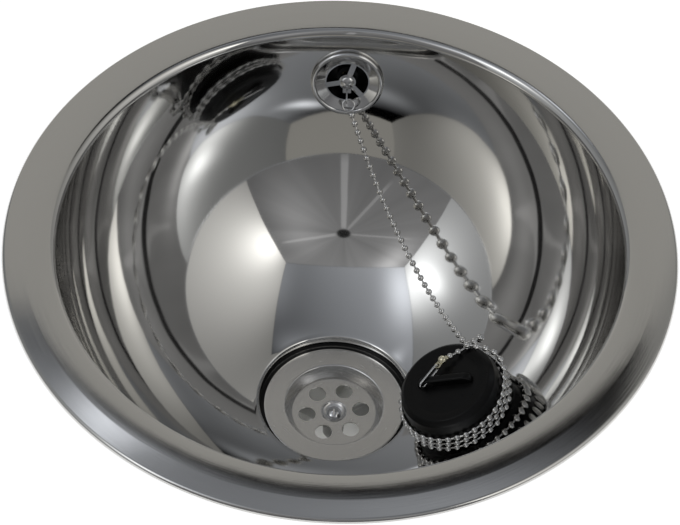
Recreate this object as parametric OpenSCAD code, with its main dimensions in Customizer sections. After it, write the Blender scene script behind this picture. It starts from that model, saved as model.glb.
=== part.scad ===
// Round inset washbasin of pressed stainless steel, let into a worktop, with its
// strainer waste, overflow, fixing clips, and rubber plug on a ball chain.
// Millimetres. Origin: centre of the rim, in the plane of the worktop's top face.
// +Z up, +Y to the back, where the overflow is, +X to the right.

/* [Rim and bowl] */
// Outer diameter of the rim
rim_d = 380; // [370:1:400]
// Height of the rim's flat above the worktop
rim_h = 4.6; // [4.5:0.1:6]
// Width of the sloping margin outside the flat
slope_w = 12.5; // [10:0.5:14]
// Fall of the sloping margin, degrees
slope_a = 9.5; // [6:0.5:10]
// Radius where the margin turns down to the worktop
edge_r = 3; // [2:0.25:3]
// Radius of the lip that leads from the flat into the bowl
lip_r = 4.5; // [3:0.25:5]
// Width of the rim's flat, from the sloping margin to the lip
flat_w = 13.1; // [12:0.1:14]
// Thickness of the sheet steel
sheet_t = 0.9; // [0.7:0.1:1.1]
// Height of the bowl's centre of curvature above the worktop
bowl_rise = 6; // [2:1:10]

/* [Waste recess] */
// Gap between the strainer's flange and the recess's wall
recess_gap = 3.1; // [2.5:0.1:4]
// Depth of the recess, from the rounding of its edge to its floor
recess_depth = 7.3; // [6.8:0.1:9]
// Radius of the recess's edge and of its floor's corner
recess_r = 2.5; // [2:0.1:3]
// Diameter of the hole in the recess's floor
floor_hole_d = 62; // [61.6:0.1:64]

/* [Strainer waste] */
// Diameter of the strainer's flange
flange_d = 85; // [82:0.5:86]
// Diameter of the strainer's cup at its mouth
cup_d = 58.4; // [56:0.1:58.6]
// Diameter of the flat strainer disc
disc_d = 50; // [46:0.5:52]
// Depth of the strainer disc below the flange
cup_depth = 7.2; // [6:0.1:8]
// Thickness of the strainer pressing
strainer_t = 0.9; // [0.7:0.1:1.1]
// Number of holes in the strainer
hole_n = 6; // [5:1:7]
// Diameter of each strainer hole
hole_d = 10.4; // [8:0.1:11]
// Diameter of the circle on which the strainer holes lie
hole_ring_d = 33; // [32:0.1:35]
// Thickness of the seal under the flange
flange_seal_t = 1.2; // [0.8:0.1:1.6]
// Thickness of the seal under the recess's floor
body_seal_t = 2; // [1.5:0.1:3]
// Width of the waste body's upper flange, outside the hole in the recess's floor
body_flange_w = 8; // [7:0.5:9]
// Height of the waste body's straight cup
body_cup_h = 20; // [18:0.5:26]
// Outer diameter of the 1 1/2 inch tail thread
tail_d = 47.8; // [47.8:0.1:47.8]
// Length of the tail
tail_l = 34; // [28:1:45]
// Diameter of the centre screw
screw_d = 6; // [5:0.5:6]

/* [Overflow] */
// Height of the overflow's centre, below the worktop
overflow_drop = 33; // [31:0.5:40]
// Outer diameter of the overflow rosette
rosette_d = 44; // [42:0.5:46]
// Diameter of the rosette's opening
rosette_hole_d = 27.6; // [26:0.2:28]
// Depth of the chamber behind the wall
chamber_l = 13; // [12:0.5:14]
// Outer diameter of the hose spigots
spigot_d = 16; // [15:0.2:16.4]
// Pitch of the hose's ribs
rib_pitch = 4; // [3.6:0.1:5]

/* [Fixings] */
// Thickness of the worktop that the clips are set for
worktop_t = 30; // [28:1:36]
// How far the rim reaches over the round cut-out in the worktop
rim_over = 13; // [12:0.5:14]
// Number of fixing clips
clip_n = 4; // [4:1:4]
// Direction of the first clip, degrees
clip_a0 = 45; // [40:1:50]
// Diameter of the fixing bolts
bolt_d = 6; // [5:0.5:6]
// Length of the fixing bolts under their heads
bolt_l = 62; // [62:1:75]
// Width of a clip
clip_w = 13; // [11:0.5:13]
// Thickness of a clip's steel
clip_t = 2; // [1.5:0.1:2.4]

/* [Plug] */
// Diameter of the plug's face
plug_face_d = 58; // [56:0.5:60]
// Diameter of the plug's flange
plug_flange_d = 64; // [63:0.5:65]
// Diameter of the plug's body under the flange
plug_body_d = 61; // [60:0.2:61.4]
// Diameter of the plug's foot
plug_foot_d = 50; // [46:0.5:52]
// Height of the plug
plug_h = 26; // [26:0.5:28]
// How far round the bowl from its bottom the plug rests, degrees
plug_polar = 32.1; // [32:0.1:34]
// Direction in which the plug rests, degrees from +X
plug_heading = -16.4; // [-18:0.1:-14]
// Lean of the plug's own axis from upright, degrees
plug_tilt = 23.5; // [22:0.1:25]
// Direction of that lean, degrees from +X
plug_tilt_heading = 5; // [3:0.5:7]

/* [Ball chain] */
// Diameter of a bead
bead_d = 4; // [3.6:0.1:4]
// Distance from bead to bead
bead_pitch = 5.6; // [5.4:0.05:6]
// Diameter of the links between beads
link_d = 1.2; // [1:0.1:1.4]
// Rise from one turn round the plug to the next
turn_pitch = 4.5; // [4.5:0.05:4.7]
// Sag of the free stretch under its chord
chain_sag = 24; // [12:1:28]

/* [Hidden] */
$fn = 96;

// Clearances
run_gap = 0.05;      // running fit, per side
seat_gap = 0.02;     // between pieces that are clamped together
rest_gap = 0.3;      // between a resting or soft piece and what carries it
lap = 0.03;          // how far the bands of one sheet run into each other
turn_gap = 0.3;      // between the chain and the rubber under it

// Rim: radii and heights of the tangent points, from the outside in; the bowl's radius follows
rim_r = rim_d / 2;
cutout_r = rim_r - rim_over;
bend_r = 6;
margin_x = rim_r - slope_w;
bend_end = [margin_x + bend_r * sin(slope_a), rim_h - bend_r + bend_r * cos(slope_a)];
edge_x = rim_r - edge_r;
edge_z = bend_end.y - (edge_x + edge_r * sin(slope_a) - bend_end.x) * tan(slope_a)
    - edge_r * cos(slope_a);
lip_z = rim_h - lip_r;
lip_x = margin_x - flat_w;
bowl_r = sqrt(pow(lip_x, 2) + pow(bowl_rise - lip_z, 2)) - lip_r;
lip_a = atan2(lip_z - bowl_rise, lip_x);
bowl_out_r = bowl_r + sheet_t;

// Recess: its edge is rounded into the sphere
recess_x = flange_d / 2 + recess_gap;
brow_x = recess_x + recess_r;
brow_z = bowl_rise - sqrt(pow(bowl_r + recess_r, 2) - brow_x * brow_x);
brow_a = atan2(brow_z - bowl_rise, brow_x);
floor_z = brow_z - recess_depth;
under_z = floor_z - sheet_t;

// Waste
flange_z = floor_z + flange_seal_t + strainer_t;
flange_r = flange_d / 2;
cup_r = cup_d / 2;
disc_r = disc_d / 2;
disc_z = flange_z - cup_depth;
dimple_r = 7;
dimple_h = 1.4;
screw_r = screw_d / 2;
screw_head_r = 4.6;
body_z = under_z - body_seal_t;
body_bore_r = floor_hole_d / 2 - 0.1;
body_wall = 2.4;
body_flange_r = floor_hole_d / 2 + body_flange_w;
body_flange_t = 3;
tail_r = tail_d / 2;
tail_wall = 3.2;
cone_h = 12;
tail_z = body_z - body_cup_h - cone_h;
tail_end_z = tail_z - tail_l;
boss_r = 6.4;
boss_top_z = disc_z - strainer_t - dimple_h - 2.5;
boss_l = 15;
spoke_t = 2.4;
spoke_h = 11;
insert_r = 4.2;
insert_l = 10;

// Overflow: the local frame has its origin on the bowl's inner face and +Z into the bowl
overflow_a = asin((-overflow_drop - bowl_rise) / bowl_r);
overflow_at = [0, bowl_r * cos(overflow_a), bowl_rise + bowl_r * sin(overflow_a)];
rosette_r = rosette_d / 2;
collar_r = rosette_hole_d / 2;
overflow_hole_r = collar_r + 1.6;
bead_edge_r = 1.5;
wall_rise = bowl_r - sqrt(bowl_r * bowl_r - rosette_r * rosette_r);
spoke_a = [73, 193, 313];
hub_r = 5.2;
hub_top = 1.2;
overflow_screw_r = 2.5;
washer_t = 2;
elbow_r = 21.5;
elbow_face = -sheet_t - washer_t;
elbow_flange_t = 2;
chamber_r = 16.6;
chamber_wall = 1.8;
spigot_r = spigot_d / 2;
spigot_bore_r = spigot_r - 2;
spigot_l = 12;
chamber_mid = elbow_face - elbow_flange_t - chamber_l / 2;
eye_drop = 9.5;
eye_out = 6.4;
eye_hole_r = 1.3;
eye_t = 0.9;

// Hose: from the elbow's spigot to the waste body's branch, in the plane x = 0
function over_pt(p) = overflow_at + [p.x,
    p.y * cos(90 + overflow_a) - p.z * sin(90 + overflow_a),
    p.y * sin(90 + overflow_a) + p.z * cos(90 + overflow_a)];
function over_dir(p) = over_pt(p) - overflow_at;
hose_sides = 12;
hose_bore_r = (spigot_r + run_gap) / cos(180 / hose_sides);
hose_root_r = hose_bore_r + 1.8;
hose_crest_r = hose_root_r + 1.8;
hose_straight = 2 * hose_crest_r;
hose_dir0 = over_dir([0, -1, 0]);
hose_p0 = over_pt([0, -elbow_r - 0.5, chamber_mid]);
branch_a = 12;
branch_z = body_z - body_flange_t - hose_root_r - 2.4;
branch_l = 16;
branch_root_l = 6;
branch_dir = [0, cos(branch_a), sin(branch_a)];
branch_root = [0, body_bore_r + body_wall, branch_z];
hose_p3 = branch_root + 2 * branch_dir;
hose_a = hose_p0 + hose_straight * hose_dir0;
hose_d = hose_p3 + hose_straight * branch_dir;
hose_pull = 66;
hose_bore_n = 14;
function bezier(a, b, c, d, t) = pow(1 - t, 3) * a + 3 * t * pow(1 - t, 2) * b
    + 3 * t * t * (1 - t) * c + t * t * t * d;
hose_fine = 60;
hose_bend = [for (i = [0:hose_fine]) bezier(hose_a, hose_a + hose_pull * hose_dir0,
    hose_d + hose_pull * branch_dir, hose_d, i / hose_fine)];

// Fixings: one station per clip, in its own frame with +X outwards
bolt_r = bolt_d / 2;
bolt_at = bowl_r + 8;
lug_z = -13;
lug_t = 2;
lug_w = 20;
lug_run = 18;
lug_toe = 6.5;
lug_drop = 22;
bolt_head_h = 4;
bolt_head_r = 5.6;
clip_reach = 22;
clip_top_z = -worktop_t - 4;
nut_h = 7;
wing_r = 12.5;

// Plug: its frame has its origin at the centre of the face and +Z out of the face
plug_face_r = plug_face_d / 2;
plug_flange_r = plug_flange_d / 2;
plug_body_r = plug_body_d / 2;
plug_foot_r = plug_foot_d / 2;
plug_dir = [sin(plug_polar) * cos(plug_heading), sin(plug_polar) * sin(plug_heading),
    -cos(plug_polar)];
plug_axis = [sin(plug_tilt) * cos(plug_tilt_heading), sin(plug_tilt) * sin(plug_tilt_heading),
    -cos(plug_tilt)];
lean_cos = plug_dir * plug_axis;
lean_sin = sqrt(1 - lean_cos * lean_cos);
foot_k = plug_foot_r * lean_sin + plug_h * lean_cos;
plug_dist = -foot_k + sqrt(foot_k * foot_k - plug_foot_r * plug_foot_r - plug_h * plug_h
    + pow(bowl_r - rest_gap, 2));
plug_at = [0, 0, bowl_rise] + plug_dist * plug_dir;
ridge_a = -11;
ridge_l = 34;
ridge_w = 4.4;
ridge_h = 5.8;
ridge_eye_x = -10.5;
ridge_eye_r = 1.9;
ridge_eye_z = 2.7;
ridge_eye_l = 3;
function plug_turn(p) = [
    p.x * cos(plug_tilt) - p.z * sin(plug_tilt), p.y,
    p.x * sin(plug_tilt) + p.z * cos(plug_tilt)];
function about_z(p, a) = [p.x * cos(a) - p.y * sin(a), p.x * sin(a) + p.y * cos(a), p.z];
function plug_pt(p) = plug_at + about_z(plug_turn(p), plug_tilt_heading);

// Chain round the plug, as angle, radius and height in the plug's frame.
// It comes over the face's edge, goes clockwise down the body, climbs outside
// its own turns at the back and comes over the edge again to the plug's link.
bead_r = bead_d / 2;
string_sides = 7;
turn_r = plug_body_r + turn_gap + bead_r;
turn_top = -10;
turn_sweep = 924;
turn_start = -6;
turn_end = turn_start - turn_sweep;
turn_bottom = turn_top - turn_pitch * turn_sweep / 360;
over_r = turn_r + bead_d + 0.5;
lead_in = [[33, 27, 6.4], [24, 31, 4.6], [15, 34.6, 0], [6, 34.6, -5.5]];
lead_out = [[-220, 35.4, turn_bottom + 0.4], [-238, over_r, -19.5], [-262, over_r, -18.5],
    [-281, over_r, -16.5], [-296, over_r, -13], [-306, over_r, -7.5], [-311, 36, -2],
    [-313, 33.4, 1.6], [-313, 29.5, 2.6], [-311, 26.4, 2.4], [-306, 23, 2.3], [-297, 18.4, 3],
    [-281, 13.6, 5]];
function cyl_pt(c) = [c.y * cos(c.x), c.y * sin(c.x), c.z];
function spline(p, i, t) =
    let (a = p[max(i - 1, 0)], b = p[i], c = p[i + 1], d = p[min(i + 2, len(p) - 1)])
    0.5 * ((2 * b) + t * (c - a) + t * t * (2 * a - 5 * b + 4 * c - d)
        + t * t * t * (3 * b - a - 3 * c + d));
function smooth(p, n) = [for (i = [0:len(p) - 2]) for (k = [0:n - 1]) spline(p, i, k / n),
    p[len(p) - 1]];
turn_steps = 24;
turn_n = round(turn_sweep / 360 * turn_steps);
turn_pts = [for (i = [0:turn_n]) cyl_pt([turn_start - turn_sweep * i / turn_n, turn_r,
    turn_top + (turn_bottom - turn_top) * i / turn_n])];
wound_route = concat(smooth(concat([for (c = lead_in) cyl_pt(c)], [turn_pts[0]]), 6), turn_pts,
    smooth(concat([turn_pts[turn_n]], [for (c = lead_out) cyl_pt(c)]), 6));

// Even walk of a route: where the beads sit
function steps(p) = [for (i = [1:len(p) - 1]) norm(p[i] - p[i - 1])];
function sums(v) = [for (i = 0, s = 0; i <= len(v); s = s + (i < len(v) ? v[i] : 0), i = i + 1) s];
function find(s, x, i = 0) = (i >= len(s) - 2 || s[i + 1] > x) ? i : find(s, x, i + 1);
function walk(p, pitch, from = 0) =
    let (s = sums(steps(p)), n = floor((s[len(s) - 1] - from) / pitch))
    [for (k = [0:n]) let (x = from + k * pitch, i = find(s, x))
        p[i] + (p[i + 1] - p[i]) * (x - s[i]) / (s[i + 1] - s[i])];
wound_local = walk(wound_route, bead_pitch);
wound_beads = [for (p = wound_local) plug_pt(p)];
wound_n = len(wound_beads);

// Free stretch: from the ring in the chain eye to the first bead round the plug
eye_at = over_pt([0, -eye_drop, eye_out]);
ring_r = 3.6;
ring_wire_r = 0.6;
free_fine = 60;
free_end = wound_beads[0] + bead_pitch * (wound_beads[0] - wound_beads[1])
    / norm(wound_beads[0] - wound_beads[1]);
free_route = [for (i = [0:free_fine]) let (t = i / free_fine)
    eye_at + (free_end - eye_at) * t - [0, 0, 4 * chain_sag * t * (1 - t)]];
free_length = sums(steps(free_route))[free_fine];
free_lead = 2 * ring_r + ring_wire_r + bead_r + 0.1;
free_n = round((free_length - free_lead) / bead_pitch);
free_pitch = (free_length - free_lead) / free_n;
free_beads = walk(free_route, free_pitch * 0.99999, free_lead);
free_dir = (free_beads[0] - eye_at) / norm(free_beads[0] - eye_at);

// End of the chain on the plug: coupling ball and wire link
coupling_r = 2.8;
last_bead = wound_local[wound_n - 1];
last_dir = (last_bead - wound_local[wound_n - 2]) / norm(last_bead - wound_local[wound_n - 2]);
coupling_at = last_bead + (bead_r + coupling_r + 0.4) * last_dir;
link_wire_r = 0.65;
link_bow = 2.1;
link_back = 3.2;
link_at = about_z([ridge_eye_x, 0, ridge_eye_z], ridge_a) + [0, 0, link_bow];
link_run = coupling_at - link_at;
link_end = norm(link_run) - coupling_r - 1.6;

turn_gap_least = min([for (i = [0:turn_n - turn_steps])
    min([for (j = [i + turn_steps - 6:min(i + turn_steps + 6, turn_n)])
        norm(turn_pts[i] - turn_pts[j])])]) - bead_d;
echo(chain_gap_between_turns = turn_gap_least);
echo(chain_length = free_length + sums(steps(wound_beads))[wound_n - 1]);
echo(free_length = free_length, free_beads = len(free_beads), wound_beads = wound_n);
echo(chain_eye = eye_at, clip_axis = bolt_at / sqrt(2));

// Flat band of an arc about c, from angle a0 to angle a1
module arc_band(c, r_in, r_out, a0, a1) {
    far = 3 * r_out;
    more = atan(lap / r_out);
    translate(c) intersection() {
        difference() {
            circle(r_out);
            circle(r_in);
        }
        polygon([[0, 0], for (a = [a0 - more, (a0 + a1) / 2, a1 + more]) far * [cos(a), sin(a)]]);
    }
}

module at_overflow() {
    translate(overflow_at) rotate([90 + overflow_a, 0, 0]) children();
}

module at_station(i) {
    rotate(clip_a0 + 360 / clip_n * i) children();
}

module at_plug() {
    translate(plug_at) rotate([0, -plug_tilt, plug_tilt_heading]) children();
}

// Frame of the wire link: +X along it, from the ridge's eye to the coupling
module at_link() {
    at_plug() translate(link_at)
        rotate([0, -asin(link_run.z / norm(link_run)), atan2(link_run.y, link_run.x)]) children();
}

// Points of an arc about c; the last one is left out where another arc goes on from it
function arc_pts(c, r, a0, a1, n, left_out = 0) =
    [for (i = [0:n - left_out]) let (a = a0 + (a1 - a0) * i / n) c + r * [cos(a), sin(a)]];

// Pressed basin: rim, lip, spherical bowl and recess from one sheet
module basin_profile() {
    corner = [recess_x - recess_r, floor_z + recess_r];
    polygon(concat(
        [[rim_r, 0]],
        arc_pts([edge_x, edge_z], edge_r, 0, 90 - slope_a, 6),
        arc_pts([margin_x, rim_h - bend_r], bend_r, 90 - slope_a, 90, 3),
        arc_pts([lip_x, lip_z], lip_r, 90, 180 + lip_a, 12, 1),
        arc_pts([0, bowl_rise], bowl_r, lip_a, brow_a, 40, 1),
        arc_pts([brow_x, brow_z], recess_r, 180 + brow_a, 180, 7),
        arc_pts(corner, recess_r, 0, -90, 7),
        [[floor_hole_d / 2, floor_z], [floor_hole_d / 2, under_z]],
        arc_pts(corner, recess_r + sheet_t, -90, 0, 7),
        arc_pts([brow_x, brow_z], recess_r - sheet_t, 180, 180 + brow_a, 7, 1),
        arc_pts([0, bowl_rise], bowl_out_r, brow_a, lip_a, 40, 1),
        arc_pts([lip_x, lip_z], lip_r - sheet_t, 180 + lip_a, 90, 12),
        arc_pts([margin_x, rim_h - bend_r], bend_r - sheet_t, 90, 90 - slope_a, 3),
        arc_pts([edge_x, edge_z], edge_r - sheet_t, 90 - slope_a, 0, 6),
        [[rim_r - sheet_t, 0]]));
}

module basin() {
    color("silver") difference() {
        rotate_extrude($fn = 180) basin_profile();
        at_overflow() translate([0, 0, -10]) cylinder(r = overflow_hole_r, h = 20);
    }
}

// Foam strip under the margin, flush with the worktop's face
module rim_seal() {
    seal_in = cutout_r + 2;
    seal_out = seal_in + 6;
    under = function (x) bend_end.y - (sheet_t + seat_gap) / cos(slope_a)
        - max(0, x - bend_end.x) * tan(slope_a);
    color("dimgray") rotate_extrude($fn = 180)
        polygon([[seal_in, 0], [seal_out, 0], [seal_out, under(seal_out)], [seal_in, under(seal_in)]]);
}

// Angle lugs, spot-welded to the outside of the bowl
module fixing_lugs() {
    weld_r = bowl_out_r + seat_gap;
    color("lightgray") for (i = [0:clip_n - 1]) at_station(i) difference() {
        union() {
            translate([bolt_at - lug_run, -lug_w / 2, lug_z]) cube([lug_run, lug_w, lug_t]);
            translate([bolt_at, 0, lug_z]) intersection() {
                cylinder(r = lug_w / 2, h = lug_t);
                translate([0, -lug_w / 2, 0]) cube([lug_toe, lug_w, lug_t]);
            }
            intersection() {
                translate([bolt_at - lug_run, -lug_w / 2, lug_z - lug_drop])
                    cube([lug_run, lug_w, lug_drop + lug_t]);
                translate([0, 0, bowl_rise]) sphere(r = weld_r + lug_t, $fn = 180);
            }
        }
        translate([0, 0, bowl_rise]) sphere(r = weld_r, $fn = 180);
        translate([bolt_at, 0, lug_z - 1]) cylinder(r = bolt_r + 0.3, h = lug_t + 2);
    }
}

// Hexagon bolts that hang through the lugs
module fixing_bolts() {
    color("silver") for (i = [0:clip_n - 1]) at_station(i) translate([bolt_at, 0, lug_z + lug_t]) {
        cylinder(r = bolt_head_r, h = bolt_head_h, $fn = 6);
        translate([0, 0, 0.6 - bolt_l]) cylinder(r = bolt_r, h = bolt_l);
        translate([0, 0, -bolt_l]) cylinder(r1 = bolt_r - 0.6, r2 = bolt_r, h = 0.6);
    }
}

// Claw of pressed steel: heel, web with the bolt hole, and a tip that bears on the worktop
module fixing_clip(i) {
    tip_z = -worktop_t;
    heel = 6;
    color("gainsboro") at_station(i) translate([bolt_at, 0, 0]) difference() {
        union() {
            translate([-heel, -clip_w / 2, clip_top_z - clip_t])
                cube([clip_reach + heel, clip_w, clip_t]);
            translate([clip_reach - clip_t, -clip_w / 2, clip_top_z]) {
                cube([clip_t, clip_w, tip_z - clip_top_z - 1.2]);
                for (k = [-1, 0, 1]) translate([0, clip_w / 2 + k * clip_w / 3 - 1.3,
                    tip_z - clip_top_z - 1.2]) cube([clip_t, 2.6, 1.2]);
            }
            for (s = [-1, 1]) translate([-heel, s * (clip_w / 2 - clip_t / 2) - clip_t / 2,
                clip_top_z - clip_t - 3]) cube([clip_reach + heel, clip_t, 3 + clip_t / 2]);
        }
        translate([0, 0, clip_top_z - clip_t - 1]) cylinder(r = bolt_r + 0.35, h = clip_t + 2);
    }
}

// Wing nut that draws the claw up
module wing_nut(i) {
    top = clip_top_z - clip_t - seat_gap;
    color("silver") at_station(i) translate([bolt_at, 0, top - nut_h]) difference() {
        union() {
            cylinder(r1 = bolt_r + 1.8, r2 = bolt_r + 1.2, h = nut_h);
            intersection() {
                for (s = [-1, 1]) translate([s * 8, 1.1, 1]) rotate([90, 0, 0])
                    cylinder(r = 4.6, h = 2.2);
                translate([-wing_r, -2, -4]) cube([2 * wing_r, 4, nut_h + 0.8]);
            }
        }
        translate([0, 0, -6]) cylinder(r = bolt_r + run_gap, h = nut_h + 12);
    }
}

// Dished rosette with a rolled outer bead, a collar and a three-armed spider
module overflow_rosette() {
    bead_c = [rosette_r - bead_edge_r, wall_rise + rest_gap / 6 + bead_edge_r];
    dish_t = 1;
    collar_back = elbow_face - 2.5;
    throat_z = 0.9;
    color("gainsboro") at_overflow() difference() {
        union() {
            rotate_extrude() {
                translate(bead_c) circle(bead_edge_r, $fn = 48);
                polygon([[collar_r - 0.2, throat_z], bead_c + [0.2, bead_edge_r - 0.25],
                    bead_c + [0.2, bead_edge_r - 0.25 - dish_t - 0.4],
                    [collar_r - 0.2, throat_z - dish_t]]);
                translate([collar_r - dish_t, collar_back])
                    square([dish_t, throat_z - collar_back]);
            }
            for (a = spoke_a) rotate(a) translate([hub_r - 1.5, -1.7, -1.2])
                cube([collar_r - hub_r + 1, 3.4, 1.8]);
            translate([0, 0, -1.6]) cylinder(r = hub_r, h = hub_top + 1.6);
        }
        translate([0, 0, -4]) cylinder(r = overflow_screw_r + 0.2, h = 8);
    }
}

module overflow_screw() {
    head_z = hub_top + eye_t + 2 * seat_gap;
    shank_l = head_z - elbow_face + 9;
    color("silver") at_overflow() difference() {
        union() {
            translate([0, 0, head_z]) intersection() {
                cylinder(r = 4.2, h = 2.4);
                translate([0, 0, 2.4 - 6]) sphere(r = 6, $fn = 64);
            }
            translate([0, 0, head_z - shank_l]) cylinder(r = overflow_screw_r - run_gap, h = shank_l);
        }
        for (a = [45, 135]) rotate(a) translate([-2.6, -0.5, head_z + 1.2]) cube([5.2, 1, 3]);
    }
}

// Tag under the screw's head, cranked outwards to its hole, where the chain hangs
module chain_eye() {
    tag_w = 5;
    z0 = hub_top + seat_gap;
    color("silver") at_overflow() difference() {
        union() {
            translate([0, 0, z0]) cylinder(r = 4.8, h = eye_t);
            translate([-tag_w / 2, -6.4, z0]) cube([tag_w, 6.4, eye_t]);
            translate([-tag_w / 2, -6.4 - eye_t / 2, z0]) cube([tag_w, eye_t, 1.6]);
            translate([-eye_t / 2, -eye_drop, z0]) cube([eye_t, 5, eye_out - z0]);
            translate([-eye_t / 2, -eye_drop, eye_out]) rotate([0, 90, 0])
                cylinder(r = 2.5, h = eye_t);
        }
        translate([0, 0, z0 - 1]) cylinder(r = overflow_screw_r + 0.1, h = 4);
        translate([-3, -eye_drop, eye_out]) rotate([0, 90, 0]) cylinder(r = eye_hole_r, h = 6);
    }
}

// Soft washer, curved to the bowl's outside on one face
module overflow_washer() {
    color("dimgray") at_overflow() difference() {
        translate([0, 0, elbow_face + seat_gap]) cylinder(r = elbow_r - 0.5, h = 6);
        translate([0, 0, bowl_r]) sphere(r = bowl_out_r + seat_gap, $fn = 180);
        translate([0, 0, elbow_face - 1]) cylinder(r = overflow_hole_r + 0.4, h = 10);
    }
}

// Chamber behind the wall with a screw boss and a spigot that points down
module overflow_elbow() {
    back = elbow_face - elbow_flange_t - chamber_l;
    color("whitesmoke") at_overflow() difference() {
        union() {
            translate([0, 0, elbow_face - elbow_flange_t]) cylinder(r = elbow_r, h = elbow_flange_t);
            translate([0, 0, back]) cylinder(r = chamber_r, h = chamber_l + 1);
            translate([0, 0, chamber_mid]) rotate([90, 0, 0])
                cylinder(r = spigot_r, h = elbow_r + 0.5 + spigot_l);
        }
        difference() {
            translate([0, 0, back + chamber_wall]) cylinder(r = chamber_r - chamber_wall, h = 30);
            translate([0, 0, back]) cylinder(r = insert_r + 2, h = chamber_l - 1);
        }
        translate([0, -insert_r - 2.2, chamber_mid]) rotate([90, 0, 0])
            cylinder(r = min(spigot_bore_r, chamber_l / 2 - 1), h = 60);
        translate([0, 0, back + 1.4]) cylinder(r = insert_r - 0.6, h = 30);
    }
}

module overflow_insert() {
    back = elbow_face - elbow_flange_t - chamber_l;
    color("goldenrod") at_overflow() difference() {
        translate([0, 0, back + 1.4 + seat_gap]) cylinder(r = insert_r - 0.6 - seat_gap, h = 8);
        translate([0, 0, back]) cylinder(r = overflow_screw_r, h = 20);
    }
}

// Corrugated hose: a ribbed outside and a plain bore, swept along the route
module swept_tube(route, radii, bore_route, bore, sides) {
    n = len(route) + len(bore_route);
    along = function (p, i) let (d = p[min(i + 1, len(p) - 1)] - p[max(i - 1, 0)]) d / norm(d);
    ring = function (p, i, r) [for (k = [0:sides - 1])
        p[i] + r * (cos(360 * k / sides) * [1, 0, 0]
            + sin(360 * k / sides) * cross(along(p, i), [1, 0, 0]))];
    rings = concat([for (i = [0:len(route) - 1]) ring(route, i, radii[i])],
        [for (i = [len(bore_route) - 1:-1:0]) ring(bore_route, i, bore)]);
    faces = [for (i = [0:n - 1]) for (k = [0:sides - 1]) for (h = [0, 1])
        let (a = i * sides + k, b = i * sides + (k + 1) % sides,
            c = ((i + 1) % n) * sides + (k + 1) % sides, d = ((i + 1) % n) * sides + k)
        h == 0 ? [a, b, c] : [a, c, d]];
    polyhedron([for (r = rings) for (p = r) p], faces);
}

module overflow_hose() {
    marks = sums(steps(hose_bend));
    total = marks[hose_fine];
    ribs = floor(total / rib_pitch);
    bend = function (s) let (i = find(marks, s)) hose_bend[i]
        + (hose_bend[i + 1] - hose_bend[i]) * (s - marks[i]) / (marks[i + 1] - marks[i]);
    cuff0 = hose_p0 + (hose_straight - 1) * hose_dir0;
    cuff1 = hose_p3 + (hose_straight - 1) * branch_dir;
    color("lightgray") swept_tube(
        concat([hose_p0, cuff0],
            [for (i = [0:ribs - 1]) for (f = [0.25, 0.75]) bend((i + f) * total / ribs)],
            [cuff1, hose_p3]),
        concat([hose_root_r, hose_root_r],
            [for (i = [0:ribs - 1]) for (r = [hose_crest_r, hose_root_r]) r],
            [hose_root_r, hose_root_r]),
        concat([hose_p0, hose_a], [for (i = [1:hose_bore_n - 1]) bend(total * i / hose_bore_n)],
            [hose_d, hose_p3]),
        hose_bore_r, hose_sides);
}

// Strainer pressing: rolled flange, tapered cup, flat disc with a ring of holes, dimple
module strainer() {
    roll = flange_seal_t;
    color("silver") difference() {
        rotate_extrude($fn = 128) {
            difference() {
                arc_band([flange_r - roll - strainer_t, flange_z - roll - strainer_t],
                    roll, roll + strainer_t, -8, 90);
                translate([0, floor_z + seat_gap - 5]) square([flange_r, 5]);
            }
            polygon([[flange_r - roll - strainer_t + lap, flange_z], [cup_r + 0.6, flange_z],
                [cup_r, flange_z - 0.6], [disc_r + 0.7, disc_z], [dimple_r, disc_z],
                [dimple_r - dimple_h, disc_z - dimple_h], [screw_r + 0.3, disc_z - dimple_h],
                [screw_r + 0.3, disc_z - dimple_h - strainer_t],
                [dimple_r - dimple_h - 0.4, disc_z - dimple_h - strainer_t],
                [dimple_r - 0.4, disc_z - strainer_t], [disc_r + 0.5 + strainer_t, disc_z - strainer_t],
                [cup_r + strainer_t, flange_z - strainer_t],
                [flange_r - roll - strainer_t + lap, flange_z - strainer_t]]);
        }
        for (i = [0:hole_n - 1]) rotate(9.5 + 360 / hole_n * i)
            translate([hole_ring_d / 2, 0, disc_z - 3]) cylinder(r = hole_d / 2, h = 6);
    }
}

module strainer_screw() {
    seat = disc_z - dimple_h + seat_gap;
    color("silver") difference() {
        union() {
            translate([0, 0, seat]) intersection() {
                cylinder(r = screw_head_r, h = 2.3);
                translate([0, 0, 2.3 - 6.5]) sphere(r = 6.5, $fn = 64);
            }
            translate([0, 0, seat - 18]) cylinder(r = screw_r - run_gap, h = 18.5);
        }
        for (a = [0, 90]) rotate(a) translate([-2.8, -0.5, seat + 1]) cube([5.6, 1, 3]);
    }
}

module flange_seal() {
    color("dimgray") translate([0, 0, floor_z + seat_gap]) difference() {
        cylinder(r = flange_r - flange_seal_t - strainer_t - 0.4, h = flange_seal_t - 2 * seat_gap);
        translate([0, 0, -1]) cylinder(r = floor_hole_d / 2 + 0.6, h = 5);
    }
}

module body_seal() {
    color("dimgray") translate([0, 0, body_z + seat_gap]) difference() {
        cylinder(r = body_flange_r - 1, h = body_seal_t - 2 * seat_gap);
        translate([0, 0, -1]) cylinder(r = floor_hole_d / 2 + 0.6, h = 5);
    }
}

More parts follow.
